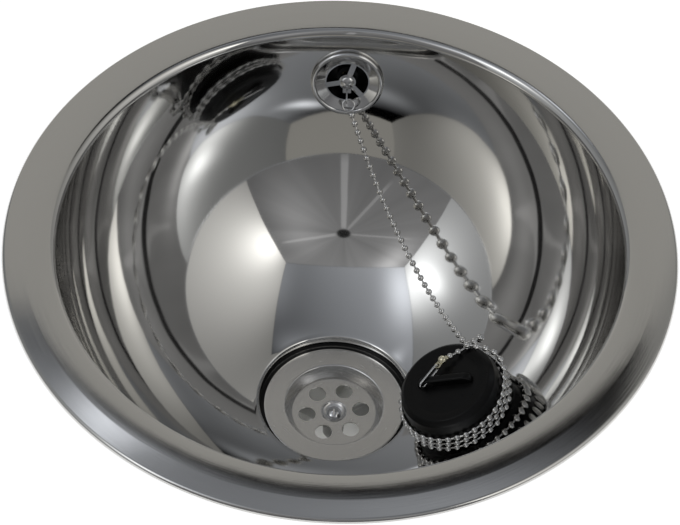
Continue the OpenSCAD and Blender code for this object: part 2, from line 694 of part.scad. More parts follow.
// Waste body: cup, spider with the screw boss, cone, threaded tail and overflow branch
module waste_body() {
    out_r = body_bore_r + body_wall;
    color("whitesmoke") {
        difference() {
            union() {
                rotate_extrude($fn = 128) polygon([
                    [0, body_z], [body_flange_r, body_z],
                    [body_flange_r, body_z - body_flange_t], [out_r, body_z - body_flange_t],
                    [out_r, body_z - body_cup_h], [tail_r, tail_z], [tail_r, tail_end_z + 1],
                    [tail_r - 1, tail_end_z], [0, tail_end_z]]);
                translate(branch_root - branch_root_l * branch_dir) rotate([90 + branch_a - 180, 0, 0])
                    cylinder(r = spigot_r, h = branch_l + branch_root_l);
                translate(branch_root - branch_root_l * branch_dir) rotate([90 + branch_a - 180, 0, 0])
                    cylinder(r = spigot_r + 2.5, h = branch_root_l + 2 - rest_gap);
            }
            rotate_extrude($fn = 128) polygon([
                [0, body_z + 1], [body_bore_r, body_z + 1], [body_bore_r, body_z - body_cup_h + 1],
                [tail_r - tail_wall, tail_z + 1], [tail_r - tail_wall, tail_end_z - 1],
                [0, tail_end_z - 1]]);
            translate(branch_root - (branch_root_l + 2) * branch_dir)
                rotate([90 + branch_a - 180, 0, 0])
                    cylinder(r = spigot_bore_r, h = branch_l + 20);
        }
        difference() {
            union() {
                translate([0, 0, boss_top_z - boss_l]) cylinder(r = boss_r, h = boss_l);
                for (i = [0:2]) rotate(30 + 120 * i)
                    translate([boss_r - 1.5, -spoke_t / 2, boss_top_z - 1 - spoke_h])
                        cube([body_bore_r - boss_r + 2.2, spoke_t, spoke_h]);
            }
            translate([0, 0, boss_top_z - insert_l]) cylinder(r = insert_r, h = 30);
            translate([0, 0, boss_top_z - boss_l - 1]) cylinder(r = screw_r + 0.2, h = 30);
        }
    }
}

module waste_insert() {
    color("goldenrod") translate([0, 0, boss_top_z - insert_l + seat_gap]) difference() {
        cylinder(r = insert_r - seat_gap, h = insert_l - seat_gap);
        translate([0, 0, -1]) cylinder(r = screw_r, h = 20);
    }
}

// Rubber plug: flanged, tapered at the foot, hollow below, with an eyed ridge on its face
module plug() {
    foot_wall = 7;
    cavity_h = 13;
    belt_low = turn_bottom - bead_r;
    color([0.12, 0.12, 0.12]) at_plug() difference() {
        union() {
            rotate_extrude() {
                polygon([[0, 0], [plug_face_r, 0], [plug_flange_r, -3], [plug_flange_r, -5],
                    [plug_body_r, -6.4], [plug_body_r, belt_low], [plug_foot_r, -plug_h], [0, -plug_h]]);
            }
            rotate(ridge_a) intersection() {
                union() {
                    translate([-ridge_l / 2 + ridge_w / 2, -ridge_w / 2, -1])
                        cube([ridge_l - ridge_w, ridge_w, ridge_h + 1]);
                    for (s = [-1, 1]) translate([s * (ridge_l - ridge_w) / 2, 0, -1])
                        cylinder(r = ridge_w / 2, h = ridge_h + 1);
                }
                union() {
                    translate([ridge_h - ridge_l / 2, -ridge_w, -1])
                        cube([ridge_l - 2 * ridge_h, 2 * ridge_w, ridge_h + 1]);
                    for (s = [-1, 1]) translate([s * (ridge_l / 2 - ridge_h), ridge_w, 0])
                        rotate([90, 0, 0]) cylinder(r = ridge_h, h = 2 * ridge_w);
                }
            }
        }
        rotate_extrude() polygon([[0, -plug_h - 1], [plug_foot_r - foot_wall, -plug_h - 1],
            [plug_foot_r - foot_wall - 1, -plug_h + cavity_h - 2],
            [plug_foot_r - foot_wall - 3, -plug_h + cavity_h], [0, -plug_h + cavity_h]]);
        rotate(ridge_a) translate([ridge_eye_x, 0, ridge_eye_z]) {
            for (s = [-1, 1]) translate([s * ridge_eye_l / 2, ridge_w, 0]) rotate([90, 0, 0])
                cylinder(r = ridge_eye_r, h = 2 * ridge_w);
            translate([-ridge_eye_l / 2, -ridge_w, -ridge_eye_r])
                cube([ridge_eye_l, 2 * ridge_w, 2 * ridge_eye_r]);
        }
    }
}

// Long wire link: one leg through the ridge's eye, one over the ridge, up to the coupling
module plug_link() {
    straight = link_end - link_bow + link_back;
    color("silver") at_link() {
        for (s = [-1, 1]) translate([-link_back, 0, s * link_bow]) rotate([0, 90, 0])
            cylinder(r = link_wire_r, h = straight);
        translate([-link_back, 0, 0]) rotate([90, -90, 0]) rotate_extrude(angle = 180, $fn = 48)
            translate([link_bow, 0]) circle(link_wire_r, $fn = 24);
        translate([link_end - link_bow, 0, 0]) rotate([90, 90, 0]) rotate_extrude(angle = 180, $fn = 48)
            translate([link_bow, 0]) circle(link_wire_r, $fn = 24);
    }
}

// Coupling at the chain's end: ball, sleeve towards the last bead, holed tab for the link
module end_coupling() {
    tab_t = 1.2;
    color("goldenrod") {
        difference() {
            union() {
                at_plug() translate(coupling_at) sphere(r = coupling_r, $fn = 48);
                at_link() translate([link_end, 0, -tab_t / 2]) {
                    cylinder(r = 2.1, h = tab_t);
                    translate([0, -1.8, 0]) cube([3, 3.6, tab_t]);
                }
            }
            at_link() translate([link_end, 0, -2 * tab_t]) cylinder(r = link_wire_r + 0.45, h = 4 * tab_t);
        }
        at_plug() translate(last_bead + (bead_r + 0.1) * last_dir)
            rotate([0, acos(last_dir.z), atan2(last_dir.y, last_dir.x)]) cylinder(r = 1.5, h = 1.6);
    }
}

// One unbroken tube that swells at each bead; the tail is where its last rod ends
module bead_string(beads, tail = []) {
    n = len(beads);
    rod_r = link_d / 2;
    reach = sqrt(bead_r * bead_r - rod_r * rod_r);
    swell = [[-reach, rod_r], [-0.47 * bead_r, 0.93 * bead_r], [0.47 * bead_r, 0.93 * bead_r],
        [reach, rod_r]];
    dirs = [for (i = [0:n - 1]) let (d = beads[min(i + 1, n - 1)] - beads[max(i - 1, 0)]) d / norm(d)];
    across = function (u, d) let (v = u - (u * d) * d) v / norm(v);
    sides = [for (i = 0, u = across([0, 0, 1], dirs[0]); i < n;
        u = across(u, dirs[min(i + 1, n - 1)]), i = i + 1) u];
    ring = function (c, i, r) [for (k = [0:string_sides - 1]) let (a = 360 * k / string_sides)
        c + r * (cos(a) * sides[i] + sin(a) * cross(dirs[i], sides[i]))];
    rings = concat([for (i = [0:n - 1]) for (w = swell) ring(beads[i] + w[0] * dirs[i], i, w[1])],
        [for (p = tail) ring(p, n - 1, rod_r)]);
    last = (len(rings) - 1) * string_sides;
    polyhedron([for (r = rings) for (p = r) p], concat(
        [[for (k = [string_sides - 1:-1:0]) k], [for (k = [0:string_sides - 1]) last + k]],
        [for (i = [0:len(rings) - 2]) for (k = [0:string_sides - 1]) for (h = [0, 1])
            let (a = i * string_sides + k, b = i * string_sides + (k + 1) % string_sides,
                c = b + string_sides, d = a + string_sides) h == 0 ? [a, b, c] : [a, c, d]]));
}

module chain_wound() {
    color("silver") bead_string(wound_beads);
}

// Free beads; the last rod stops just short of the first bead round the plug
module chain_free() {
    to = wound_beads[0] - free_beads[free_n];
    color("silver") bead_string(free_beads, [wound_beads[0] - (bead_r + run_gap) / norm(to) * to]);
}

// Round ring that hangs in the eye's hole and holds the first bead
module eye_ring() {
    color("silver") translate(eye_at) rotate([atan2(-free_dir.y, free_dir.z), 0, 0])
        rotate([0, asin(free_dir.x), 0]) translate([0, 0, ring_r]) rotate([90, 0, 0])
            rotate_extrude($fn = 48) translate([ring_r, 0]) circle(ring_wire_r, $fn = 24);
}

basin();
rim_seal();
fixing_lugs();
fixing_bolts();
fixing_clip(0);  // fixing_clip_1
fixing_clip(1);  // fixing_clip_2
fixing_clip(2);  // fixing_clip_3
fixing_clip(3);  // fixing_clip_4
wing_nut(0);  // wing_nut_1
wing_nut(1);  // wing_nut_2
wing_nut(2);  // wing_nut_3
wing_nut(3);  // wing_nut_4
overflow_rosette();
overflow_screw();
chain_eye();
overflow_washer();
overflow_elbow();
overflow_insert();
overflow_hose();
strainer();
strainer_screw();
flange_seal();
body_seal();
waste_body();
waste_insert();
plug();
plug_link();
end_coupling();
chain_wound();
chain_free();
eye_ring();
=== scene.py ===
import math

import bpy
from mathutils import Matrix, Vector


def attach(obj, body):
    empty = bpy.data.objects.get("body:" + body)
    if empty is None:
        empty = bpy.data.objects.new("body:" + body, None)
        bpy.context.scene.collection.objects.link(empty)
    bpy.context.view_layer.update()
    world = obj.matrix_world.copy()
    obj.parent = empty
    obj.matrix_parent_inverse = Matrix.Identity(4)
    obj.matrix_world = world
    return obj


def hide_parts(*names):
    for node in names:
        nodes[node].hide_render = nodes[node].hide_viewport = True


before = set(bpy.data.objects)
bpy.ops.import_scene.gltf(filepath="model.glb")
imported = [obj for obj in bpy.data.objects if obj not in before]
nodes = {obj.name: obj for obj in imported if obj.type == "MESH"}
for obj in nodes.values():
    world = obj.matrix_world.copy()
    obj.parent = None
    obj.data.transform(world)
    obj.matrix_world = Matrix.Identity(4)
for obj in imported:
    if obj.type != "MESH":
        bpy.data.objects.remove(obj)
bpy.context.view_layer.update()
mm = 0.001
print("frame loaded:", len(nodes), "nodes")

# camera
shot = {"elevation": 50.64, "distance": 1500.0, "focalPixels": 2665.0, "roll": 2.35, "aimRight": 0.04,
        "aimUp": -11.6, "imageWidth": 680, "sensorWidth": 36, "clipEnd": 50, "bounces": 24}


def addCamera():
    e, r = math.radians(shot["elevation"]), math.radians(shot["roll"])
    forward = Vector((0, math.cos(e), -math.sin(e)))
    right = Vector((1, 0, 0))
    up = right.cross(forward)
    place = (right * shot["aimRight"] + up * shot["aimUp"] - forward * shot["distance"]) * mm
    camRight = right * math.cos(r) + up * math.sin(r)
    camUp = up * math.cos(r) - right * math.sin(r)
    data = bpy.data.cameras.new("photoCamera")
    data.sensor_fit = "HORIZONTAL"
    data.sensor_width = shot["sensorWidth"]
    data.lens = shot["focalPixels"] / shot["imageWidth"] * shot["sensorWidth"]
    data.clip_end = shot["clipEnd"]
    cam = bpy.data.objects.new("photoCamera", data)
    bpy.context.scene.collection.objects.link(cam)
    m = Matrix((camRight, camUp, -forward)).transposed().to_4x4()
    m.translation = place
    cam.matrix_world = m
    bpy.context.scene.camera = cam


addCamera()
bpy.context.scene.view_settings.view_transform = "Standard"
# the bowl mirrors itself many times near its lip
bpy.context.scene.cycles.max_bounces = shot["bounces"]
bpy.context.scene.cycles.glossy_bounces = shot["bounces"]
print("camera placed")

# routes of the chain, and the sizes they hang from, in millimetres and degrees
# crown is the lean of the rim's flat at the lip and at the margin, crownIn its top's distance from the lip
rim = {"diameter": 380.0, "height": 4.6, "slopeWidth": 12.5, "slope": 9.5, "flatWidth": 13.1, "edgeR": 2.5,
       "lipR": 4.5, "bendR": 8.0, "crown": (4.0, 5.0), "crownIn": 5.5}
lipX = rim["diameter"] / 2 - rim["slopeWidth"] - rim["flatWidth"]
bowl = {"rise": 6.0, "sheet": 0.9}
bowl["radius"] = math.hypot(lipX, bowl["rise"] - rim["height"] + rim["lipR"]) - rim["lipR"]
overflow = {"drop": 33.0, "holeR": 15.4, "holeDepth": 24.0}
chainEye = {"place": (0, -9.5, 6.4), "ringR": 3.6, "ringWire": 0.6, "slack": 0.1}
rubberPlug = {"bodyD": 61.0, "footD": 50.0, "height": 26.0,
              "polar": 32.1, "heading": -16.4, "tilt": 23.5, "tiltHeading": 5.0, "rest": 0.3}
ballChain = {"bead": 4.0, "pitch": 5.6, "rod": 1.2, "turnPitch": 4.5, "sag": 24.0, "turnTop": -10.0,
             "sweep": 924.0, "start": -6.0, "gap": 0.3, "overGap": 0.5, "turnSteps": 24, "leadSteps": 6,
             "freeSteps": 60, "endGap": 0.05, "beadSides": 14, "beadRings": 9, "rodSides": 8, "smooth": 60}


def dsin(a):
    return math.sin(math.radians(a))


def dcos(a):
    return math.cos(math.radians(a))


overflowAngle = math.degrees(math.asin((-overflow["drop"] - bowl["rise"]) / bowl["radius"]))
overflowAt = Vector((0, bowl["radius"] * dcos(overflowAngle),
                     bowl["rise"] + bowl["radius"] * dsin(overflowAngle)))
overflowTurn = Matrix.Rotation(math.radians(90 + overflowAngle), 4, "X")


def overflowPoint(x, y, z):
    return overflowAt + (overflowTurn @ Vector((x, y, z)))


# The plug stands with its foot's edge against the bowl, leaning on it.
def plugPlace():
    p = rubberPlug
    footR = p["footD"] / 2
    toward = Vector((dsin(p["polar"]) * dcos(p["heading"]), dsin(p["polar"]) * dsin(p["heading"]),
                     -dcos(p["polar"])))
    axis = Vector((dsin(p["tilt"]) * dcos(p["tiltHeading"]), dsin(p["tilt"]) * dsin(p["tiltHeading"]),
                   -dcos(p["tilt"])))
    leanCos = toward.dot(axis)
    leanSin = math.sqrt(1 - leanCos ** 2)
    k = footR * leanSin + p["height"] * leanCos
    distance = -k + math.sqrt(k * k - footR ** 2 - p["height"] ** 2 + (bowl["radius"] - p["rest"]) ** 2)
    return Vector((0, 0, bowl["rise"])) + toward * distance


plugAt = plugPlace()
plugTurn = (Matrix.Rotation(math.radians(rubberPlug["tiltHeading"]), 4, "Z")
            @ Matrix.Rotation(math.radians(-rubberPlug["tilt"]), 4, "Y"))


def plugPoint(v):
    return plugAt + plugTurn @ Vector(v)


def ringPoint(angle, radius, height):
    return Vector((radius * dcos(angle), radius * dsin(angle), height))


# A smooth curve through the points, from point i to the next.
def spline(p, i, t):
    a, b, c, d = p[max(i - 1, 0)], p[i], p[i + 1], p[min(i + 2, len(p) - 1)]
    return 0.5 * ((2 * b) + t * (c - a) + t * t * (2 * a - 5 * b + 4 * c - d)
                  + t ** 3 * (3 * b - a - 3 * c + d))


def smoothRoute(p, n):
    return [spline(p, i, k / n) for i in range(len(p) - 1) for k in range(n)] + [p[-1]]


def sums(points):
    out = [0.0]
    for a, b in zip(points, points[1:]):
        out.append(out[-1] + (b - a).length)
    return out


# Points at equal steps along a route.
def walk(points, pitch, start=0.0):
    s = sums(points)
    out = []
    for k in range(int((s[-1] - start) / pitch) + 1):
        x = start + k * pitch
        i = 0
        while i < len(s) - 2 and s[i + 1] <= x:
            i += 1
        out.append(points[i] + (points[i + 1] - points[i]) * ((x - s[i]) / (s[i + 1] - s[i])))
    return out


def woundRoute():
    c = ballChain
    turnR = rubberPlug["bodyD"] / 2 + c["gap"] + c["bead"] / 2
    overR = turnR + c["bead"] + c["overGap"]
    bottom = c["turnTop"] - c["turnPitch"] * c["sweep"] / 360
    # angle, radius and height of the points by which the chain comes to the turns and leaves them
    leadIn = [(33, 27, 6.4), (24, 31, 4.6), (15, 34.6, 0), (6, 34.6, -5.5)]
    leadOut = [(-220, 35.4, bottom + 0.4), (-238, overR, -19.5), (-262, overR, -18.5),
               (-281, overR, -16.5), (-296, overR, -13), (-306, overR, -7.5), (-311, 36, -2),
               (-313, 33.4, 1.6), (-313, 29.5, 2.6), (-311, 26.4, 2.4), (-306, 23, 2.3),
               (-297, 18.4, 3), (-281, 13.6, 5)]
    n = round(c["sweep"] / 360 * c["turnSteps"])
    turns = [ringPoint(c["start"] - c["sweep"] * i / n, turnR,
                       c["turnTop"] + (bottom - c["turnTop"]) * i / n) for i in range(n + 1)]
    return (smoothRoute([ringPoint(*p) for p in leadIn] + [turns[0]], c["leadSteps"]) + turns
            + smoothRoute([turns[-1]] + [ringPoint(*p) for p in leadOut], c["leadSteps"]))


woundBeads = [plugPoint(p) for p in walk(woundRoute(), ballChain["pitch"])]
eyeAt = overflowPoint(*chainEye["place"])


# The free stretch hangs as a parabola from the eye to the bead before the first wound one.
def freeRoute():
    first, second = woundBeads[0], woundBeads[1]
    end = first + ballChain["pitch"] * (first - second).normalized()
    n, sag = ballChain["freeSteps"], ballChain["sag"]
    return [eyeAt + (end - eyeAt) * (i / n) - Vector((0, 0, 4 * sag * (i / n) * (1 - i / n)))
            for i in range(n + 1)]


freeLine = freeRoute()
freeLead = 2 * chainEye["ringR"] + chainEye["ringWire"] + ballChain["bead"] / 2 + chainEye["slack"]
freeCount = round((sums(freeLine)[-1] - freeLead) / ballChain["pitch"])
freePitch = (sums(freeLine)[-1] - freeLead) / freeCount
# a touch less than the pitch, so that rounding never drops the last bead
freeBeads = walk(freeLine, freePitch * 0.99999, freeLead)
print("chain:", len(freeBeads), "free beads,", len(woundBeads), "wound beads")


# helpers for modelling
def deselectAll():
    if bpy.context.object and bpy.context.object.mode != "OBJECT":
        bpy.ops.object.mode_set(mode="OBJECT")
    bpy.ops.object.select_all(action="DESELECT")


def only(obj):
    deselectAll()
    obj.select_set(True)
    bpy.context.view_layer.objects.active = obj


def named(name):
    obj = bpy.context.object
    obj.name = obj.data.name = name
    return obj


# Selects what the test picks, and leaves the piece in edit mode.
def pick(obj, test, kind="vertices"):
    bpy.ops.object.mode_set(mode="OBJECT")
    for v in obj.data.vertices:
        v.select = False
    for e in obj.data.edges:
        e.select = False
    for f in obj.data.polygons:
        f.select = False
    for item in getattr(obj.data, kind):
        item.select = test(item)
    bpy.ops.object.mode_set(mode="EDIT")


# Extrudes the selected ring to a new radius and height.
def growRing(fromR, fromZ, toR, toZ):
    bpy.ops.mesh.extrude_region_move()
    k = toR / fromR
    bpy.ops.transform.resize(value=(k, k, 1), center_override=(0, 0, 0))
    bpy.ops.transform.translate(value=(0, 0, toZ - fromZ))


# A turned piece: rings grown one from the next through the profile's (radius, height) points, in mm.
def turned(name, profile, segments, closed=False):
    deselectAll()
    r0, z0 = profile[0][0] * mm, profile[0][1] * mm
    bpy.ops.mesh.primitive_circle_add(vertices=segments, radius=r0, fill_type="NOTHING",
                                      location=(0, 0, z0))
    obj = named(name)
    bpy.ops.object.transform_apply(location=True, rotation=True, scale=True)
    bpy.ops.object.mode_set(mode="EDIT")
    bpy.ops.mesh.select_mode(type="EDGE")
    bpy.ops.mesh.select_all(action="SELECT")
    for r, z in profile[1:]:
        growRing(r0, z0, r * mm, z * mm)
        r0, z0 = r * mm, z * mm
    if closed:
        bpy.ops.mesh.select_all(action="SELECT")
        bpy.ops.mesh.remove_doubles(threshold=2e-6)
        bpy.ops.mesh.normals_make_consistent(inside=False)
    bpy.ops.object.mode_set(mode="OBJECT")
    return obj


def arc(cx, cz, r, a0, a1, n):
    return [(cx + r * dcos(a0 + (a1 - a0) * i / n), cz + r * dsin(a0 + (a1 - a0) * i / n))
            for i in range(n + 1)]


def smooth(obj, angle):
    only(obj)
    bpy.ops.object.shade_smooth_by_angle(angle=math.radians(angle))


def modify(obj, kind, **values):
    only(obj)
    m = obj.modifiers.new(kind.lower(), kind)
    for k, v in values.items():
        setattr(m, k, v)
    bpy.ops.object.modifier_apply(modifier=m.name)


def cut(obj, tool):
    modify(obj, "BOOLEAN", object=tool, operation="DIFFERENCE", solver="EXACT")
    bpy.data.objects.remove(tool)


def fuse(obj, other):
    modify(obj, "BOOLEAN", object=other, operation="UNION", solver="EXACT")
    bpy.data.objects.remove(other)


# Turns the normals of an open shell one way: the face that comes first by nearness looks up.
def faceUp(obj, nearness):
    only(obj)
    bpy.ops.object.mode_set(mode="EDIT")
    bpy.ops.mesh.select_all(action="SELECT")
    bpy.ops.mesh.normals_make_consistent(inside=False)
    bpy.ops.object.mode_set(mode="OBJECT")
    if min(obj.data.polygons, key=nearness).normal.z < 0:
        bpy.ops.object.mode_set(mode="EDIT")
        bpy.ops.mesh.select_all(action="SELECT")
        bpy.ops.mesh.flip_normals()
        bpy.ops.object.mode_set(mode="OBJECT")


def joined(objs, name):
    deselectAll()
    for o in objs:
        o.select_set(True)
    bpy.context.view_layer.objects.active = objs[0]
    bpy.ops.object.join()
    return named(name)


# Puts a place into the mesh, so that the object itself stays at the origin.
def bake(obj, matrix):
    obj.data.transform(matrix @ obj.matrix_world)
    obj.matrix_world = Matrix.Identity(4)
    return obj


def mmTo(matrix):
    m = matrix.copy()
    m.translation = m.translation * mm
    return m


overflowFrame = mmTo(Matrix.Translation(overflowAt) @ overflowTurn)
plugFrame = mmTo(Matrix.Translation(plugAt) @ plugTurn)


# materials
def newGroup(name, inputs, outputs):
    g = bpy.data.node_groups.new(name, "ShaderNodeTree")
    for label, value in inputs.items():
        s = g.interface.new_socket(name=label, in_out="INPUT", socket_type="NodeSocketFloat")
        s.default_value = value
    for label in outputs:
        g.interface.new_socket(name=label, in_out="OUTPUT", socket_type="NodeSocketFloat")
    return g, g.nodes.new("NodeGroupInput"), g.nodes.new("NodeGroupOutput")


def put(tree, kind, **values):
    n = tree.nodes.new(kind)
    for k, v in values.items():
        if k == "inputs":
            for label, value in v.items():
                n.inputs[label].default_value = value
        else:
            setattr(n, k, v)
    return n


def mathNode(tree, op, a, b=None):
    n = put(tree, "ShaderNodeMath", operation=op)
    for i, v in enumerate((a, b)):
        if v is None:
            continue
        if isinstance(v, (int, float)):
            n.inputs[i].default_value = v
        else:
            tree.links.new(v, n.inputs[i])
    return n.outputs[0]


def lengthOf(tree, a, b):
    return mathNode(tree, "SQRT", mathNode(tree, "ADD", mathNode(tree, "MULTIPLY", a, a),
                                           mathNode(tree, "MULTIPLY", b, b)))


# Fine rings round the part's Z axis, as a polishing wheel or a lathe leaves them.
def turnedGrain():
    g, gin, gout = newGroup("turnedGrain", {"Rings": 900.0, "Along": 3.0}, ("Grain", "Patches"))
    coord = put(g, "ShaderNodeTexCoord")
    split = put(g, "ShaderNodeSeparateXYZ")
    g.links.new(coord.outputs["Object"], split.inputs[0])
    rr = lengthOf(g, split.outputs[0], split.outputs[1])
    joinXyz = put(g, "ShaderNodeCombineXYZ")
    g.links.new(mathNode(g, "MULTIPLY", rr, gin.outputs["Rings"]), joinXyz.inputs[0])
    unit = put(g, "ShaderNodeVectorMath", operation="NORMALIZE")
    flat = put(g, "ShaderNodeCombineXYZ")
    g.links.new(split.outputs[0], flat.inputs[0])
    g.links.new(split.outputs[1], flat.inputs[1])
    g.links.new(flat.outputs[0], unit.inputs[0])
    around = put(g, "ShaderNodeSeparateXYZ")
    g.links.new(unit.outputs[0], around.inputs[0])
    g.links.new(mathNode(g, "MULTIPLY", around.outputs[0], gin.outputs["Along"]), joinXyz.inputs[1])
    g.links.new(mathNode(g, "MULTIPLY", around.outputs[1], gin.outputs["Along"]), joinXyz.inputs[2])
    fine = put(g, "ShaderNodeTexNoise", inputs={"Scale": 1.0, "Detail": 4.0, "Roughness": 0.65})
    g.links.new(joinXyz.outputs[0], fine.inputs["Vector"])
    wide = put(g, "ShaderNodeTexNoise", inputs={"Scale": 18.0, "Detail": 3.0, "Roughness": 0.5})
    g.links.new(coord.outputs["Object"], wide.inputs["Vector"])
    g.links.new(fine.outputs["Fac"], gout.inputs["Grain"])
    g.links.new(wide.outputs["Fac"], gout.inputs["Patches"])
    return g


grainGroup = turnedGrain()
# where most values of a noise texture lie
noiseSpan = (0.3, 0.7)


def mapRange(tree, value, a, b, c, d, smoothStep=False):
    n = put(tree, "ShaderNodeMapRange", interpolation_type="SMOOTHSTEP" if smoothStep else "LINEAR")
    tree.links.new(value, n.inputs["Value"])
    for label, v in zip(("From Min", "From Max", "To Min", "To Max"), (a, b, c, d)):
        if isinstance(v, (int, float)):
            n.inputs[label].default_value = v
        else:
            tree.links.new(v, n.inputs[label])
    return n.outputs["Result"]


def material(name, color, roughness, metallic=0.0, sockets=None):
    m = bpy.data.materials.new(name)
    m.use_nodes = True
    m.diffuse_color = (*color, 1)
    tree = m.node_tree
    shader = tree.nodes["Principled BSDF"]
    shader.inputs["Base Color"].default_value = (*color, 1)
    shader.inputs["Roughness"].default_value = roughness
    shader.inputs["Metallic"].default_value = metallic
    for label, v in (sockets or {}).items():
        shader.inputs[label].default_value = v
    return m, tree, shader


def colorBlend(tree, fac, a, b):
    n = put(tree, "ShaderNodeMix", data_type="RGBA")
    tree.links.new(fac, n.inputs["Factor"])
    for i, c in ((6, a), (7, b)):
        if isinstance(c, tuple):
            n.inputs[i].default_value = (*c, 1)
        else:
            tree.links.new(c, n.inputs[i])
    return n.outputs[2]


def bump(tree, shader, height, strength, distance):
    n = put(tree, "ShaderNodeBump", inputs={"Strength": strength, "Distance": distance})
    tree.links.new(height, n.inputs["Height"])
    tree.links.new(n.outputs["Normal"], shader.inputs["Normal"])


# satin rim and polished bowl; lengths in metres
steel = {"satin": (0.58, 0.575, 0.56), "polished": (0.66, 0.655, 0.64), "satinRoughness": (0.11, 0.16),
         "polishedRoughness": (0.035, 0.055), "lipRadii": (0.1610, 0.1630), "rimHeights": (-0.004, -0.001),
         "rings": 1500.0, "along": 5.0, "ringHeight": 0.00002, "rippleScale": 22.0, "rippleHeight": 0.00010,
         "patchSpan": (0.35, 0.65)}


def basinSteel():
    m, tree, shader = material("basinSteel", steel["polished"], 0.05, 1.0)
    grain = put(tree, "ShaderNodeGroup", node_tree=grainGroup)
    grain.inputs["Rings"].default_value = steel["rings"]
    grain.inputs["Along"].default_value = steel["along"]
    coord = put(tree, "ShaderNodeTexCoord")
    split = put(tree, "ShaderNodeSeparateXYZ")
    tree.links.new(coord.outputs["Object"], split.inputs[0])
    rr = lengthOf(tree, split.outputs[0], split.outputs[1])
    onRim = mapRange(tree, rr, *steel["lipRadii"], 0.0, 1.0, True)
    above = mapRange(tree, split.outputs[2], *steel["rimHeights"], 0.0, 1.0)
    satin = mathNode(tree, "MULTIPLY", onRim, above)
    tree.links.new(colorBlend(tree, satin, steel["polished"], steel["satin"]), shader.inputs["Base Color"])
    rimRough = mapRange(tree, grain.outputs["Grain"], *noiseSpan, *steel["satinRoughness"])
    bowlRough = mapRange(tree, grain.outputs["Patches"], *steel["patchSpan"], *steel["polishedRoughness"])
    mixRough = put(tree, "ShaderNodeMix", data_type="FLOAT")
    tree.links.new(satin, mixRough.inputs["Factor"])
    tree.links.new(bowlRough, mixRough.inputs[2])
    tree.links.new(rimRough, mixRough.inputs[3])
    tree.links.new(mixRough.outputs[0], shader.inputs["Roughness"])
    ripple = put(tree, "ShaderNodeTexNoise",
                 inputs={"Scale": steel["rippleScale"], "Detail": 2.0, "Roughness": 0.4})
    tree.links.new(coord.outputs["Object"], ripple.inputs["Vector"])
    rings = mathNode(tree, "MULTIPLY", grain.outputs["Grain"], satin)
    rings = mathNode(tree, "MULTIPLY", rings, steel["ringHeight"])
    wave = mathNode(tree, "MULTIPLY", ripple.outputs["Fac"], steel["rippleHeight"])
    bump(tree, shader, mathNode(tree, "ADD", rings, wave), 1.0, 1.0)
    return m


# Turned, polished or plated metal.
def brightMetal(name, color, rough, spread, rings):
    m, tree, shader = material(name, color, rough, 1.0)
    grain = put(tree, "ShaderNodeGroup", node_tree=grainGroup)
    grain.inputs["Rings"].default_value = rings
    tree.links.new(mapRange(tree, grain.outputs["Grain"], *noiseSpan, rough - spread, rough + spread),
                   shader.inputs["Roughness"])
    tree.links.new(colorBlend(tree, grain.outputs["Patches"], tuple(c * 0.9 for c in color), color),
                   shader.inputs["Base Color"])
    return m


# Moulded or cast surface: fine grain in colour, gloss and height.
def speckled(name, color, dark, rough, size, bumpHeight, sockets):
    m, tree, shader = material(name, color, rough, 0.0, sockets)
    coord = put(tree, "ShaderNodeTexCoord")
    noise = put(tree, "ShaderNodeTexNoise", inputs={"Scale": size, "Detail": 5.0, "Roughness": 0.6})
    tree.links.new(coord.outputs["Object"], noise.inputs["Vector"])
    tree.links.new(colorBlend(tree, noise.outputs["Fac"], dark, color), shader.inputs["Base Color"])
    tree.links.new(mapRange(tree, noise.outputs["Fac"], *noiseSpan, rough * 0.8, min(1.0, rough * 1.2)),
                   shader.inputs["Roughness"])
    bump(tree, shader, noise.outputs["Fac"], 1.0, bumpHeight)
    return m


# colour, roughness and its spread, rings to the metre
metals = {
    "strainerSteel": ((0.78, 0.77, 0.75), 0.23, 0.05, 1500.0),
    "chromePlate": ((0.70, 0.70, 0.70), 0.09, 0.03, 1200.0),
    "chainSteel": ((0.70, 0.69, 0.67), 0.13, 0.04, 300.0),
    "zincSteel": ((0.55, 0.56, 0.58), 0.30, 0.08, 500.0),
    "turnedBrass": ((0.60, 0.47, 0.24), 0.25, 0.08, 900.0),
    "paleBrass": ((0.86, 0.80, 0.60), 0.24, 0.06, 900.0)}
# colour, darker colour, roughness, scale and height of the grain, other sockets
mouldings = {
    "blackRubber": ((0.0050, 0.0050, 0.0050), (0.0030, 0.0030, 0.0030), 0.34, 240.0, 0.00003,
                    {"Specular IOR Level": 0.22}),
    "blackPlastic": ((0.010, 0.010, 0.011), (0.006, 0.006, 0.007), 0.42, 160.0, 0.00003, {}),
    "greyFoam": ((0.05, 0.05, 0.055), (0.025, 0.025, 0.028), 0.9, 900.0, 0.0002, {}),
    "whitePlastic": ((0.80, 0.80, 0.78), (0.74, 0.74, 0.72), 0.38, 160.0, 0.00003,
                     {"Subsurface Weight": 0.7, "Subsurface Radius": (1.0, 1.0, 1.0),
                      "Subsurface Scale": 0.006}),
    "greyHose": ((0.42, 0.43, 0.44), (0.36, 0.37, 0.38), 0.42, 200.0, 0.00003, {})}
surfaces = {"basinSteel": basinSteel()}
surfaces.update({name: brightMetal(name, *values) for name, values in metals.items()})
surfaces.update({name: speckled(name, *values) for name, values in mouldings.items()})


def dress(obj, surface):
    obj.data.materials.clear()
    obj.data.materials.append(surfaces[surface])
    return obj


print("materials made")

# basin
recess = {"diameter": 91.2, "depth": 7.3, "round": 2.5, "holeD": 62.0}
sheetMesh = {"segments": 288, "rings": 160, "lip": 14, "crown": 8, "bend": 5, "edge": 9, "brow": 8,
             "corner": 8, "holeSides": 96, "smooth": 28}


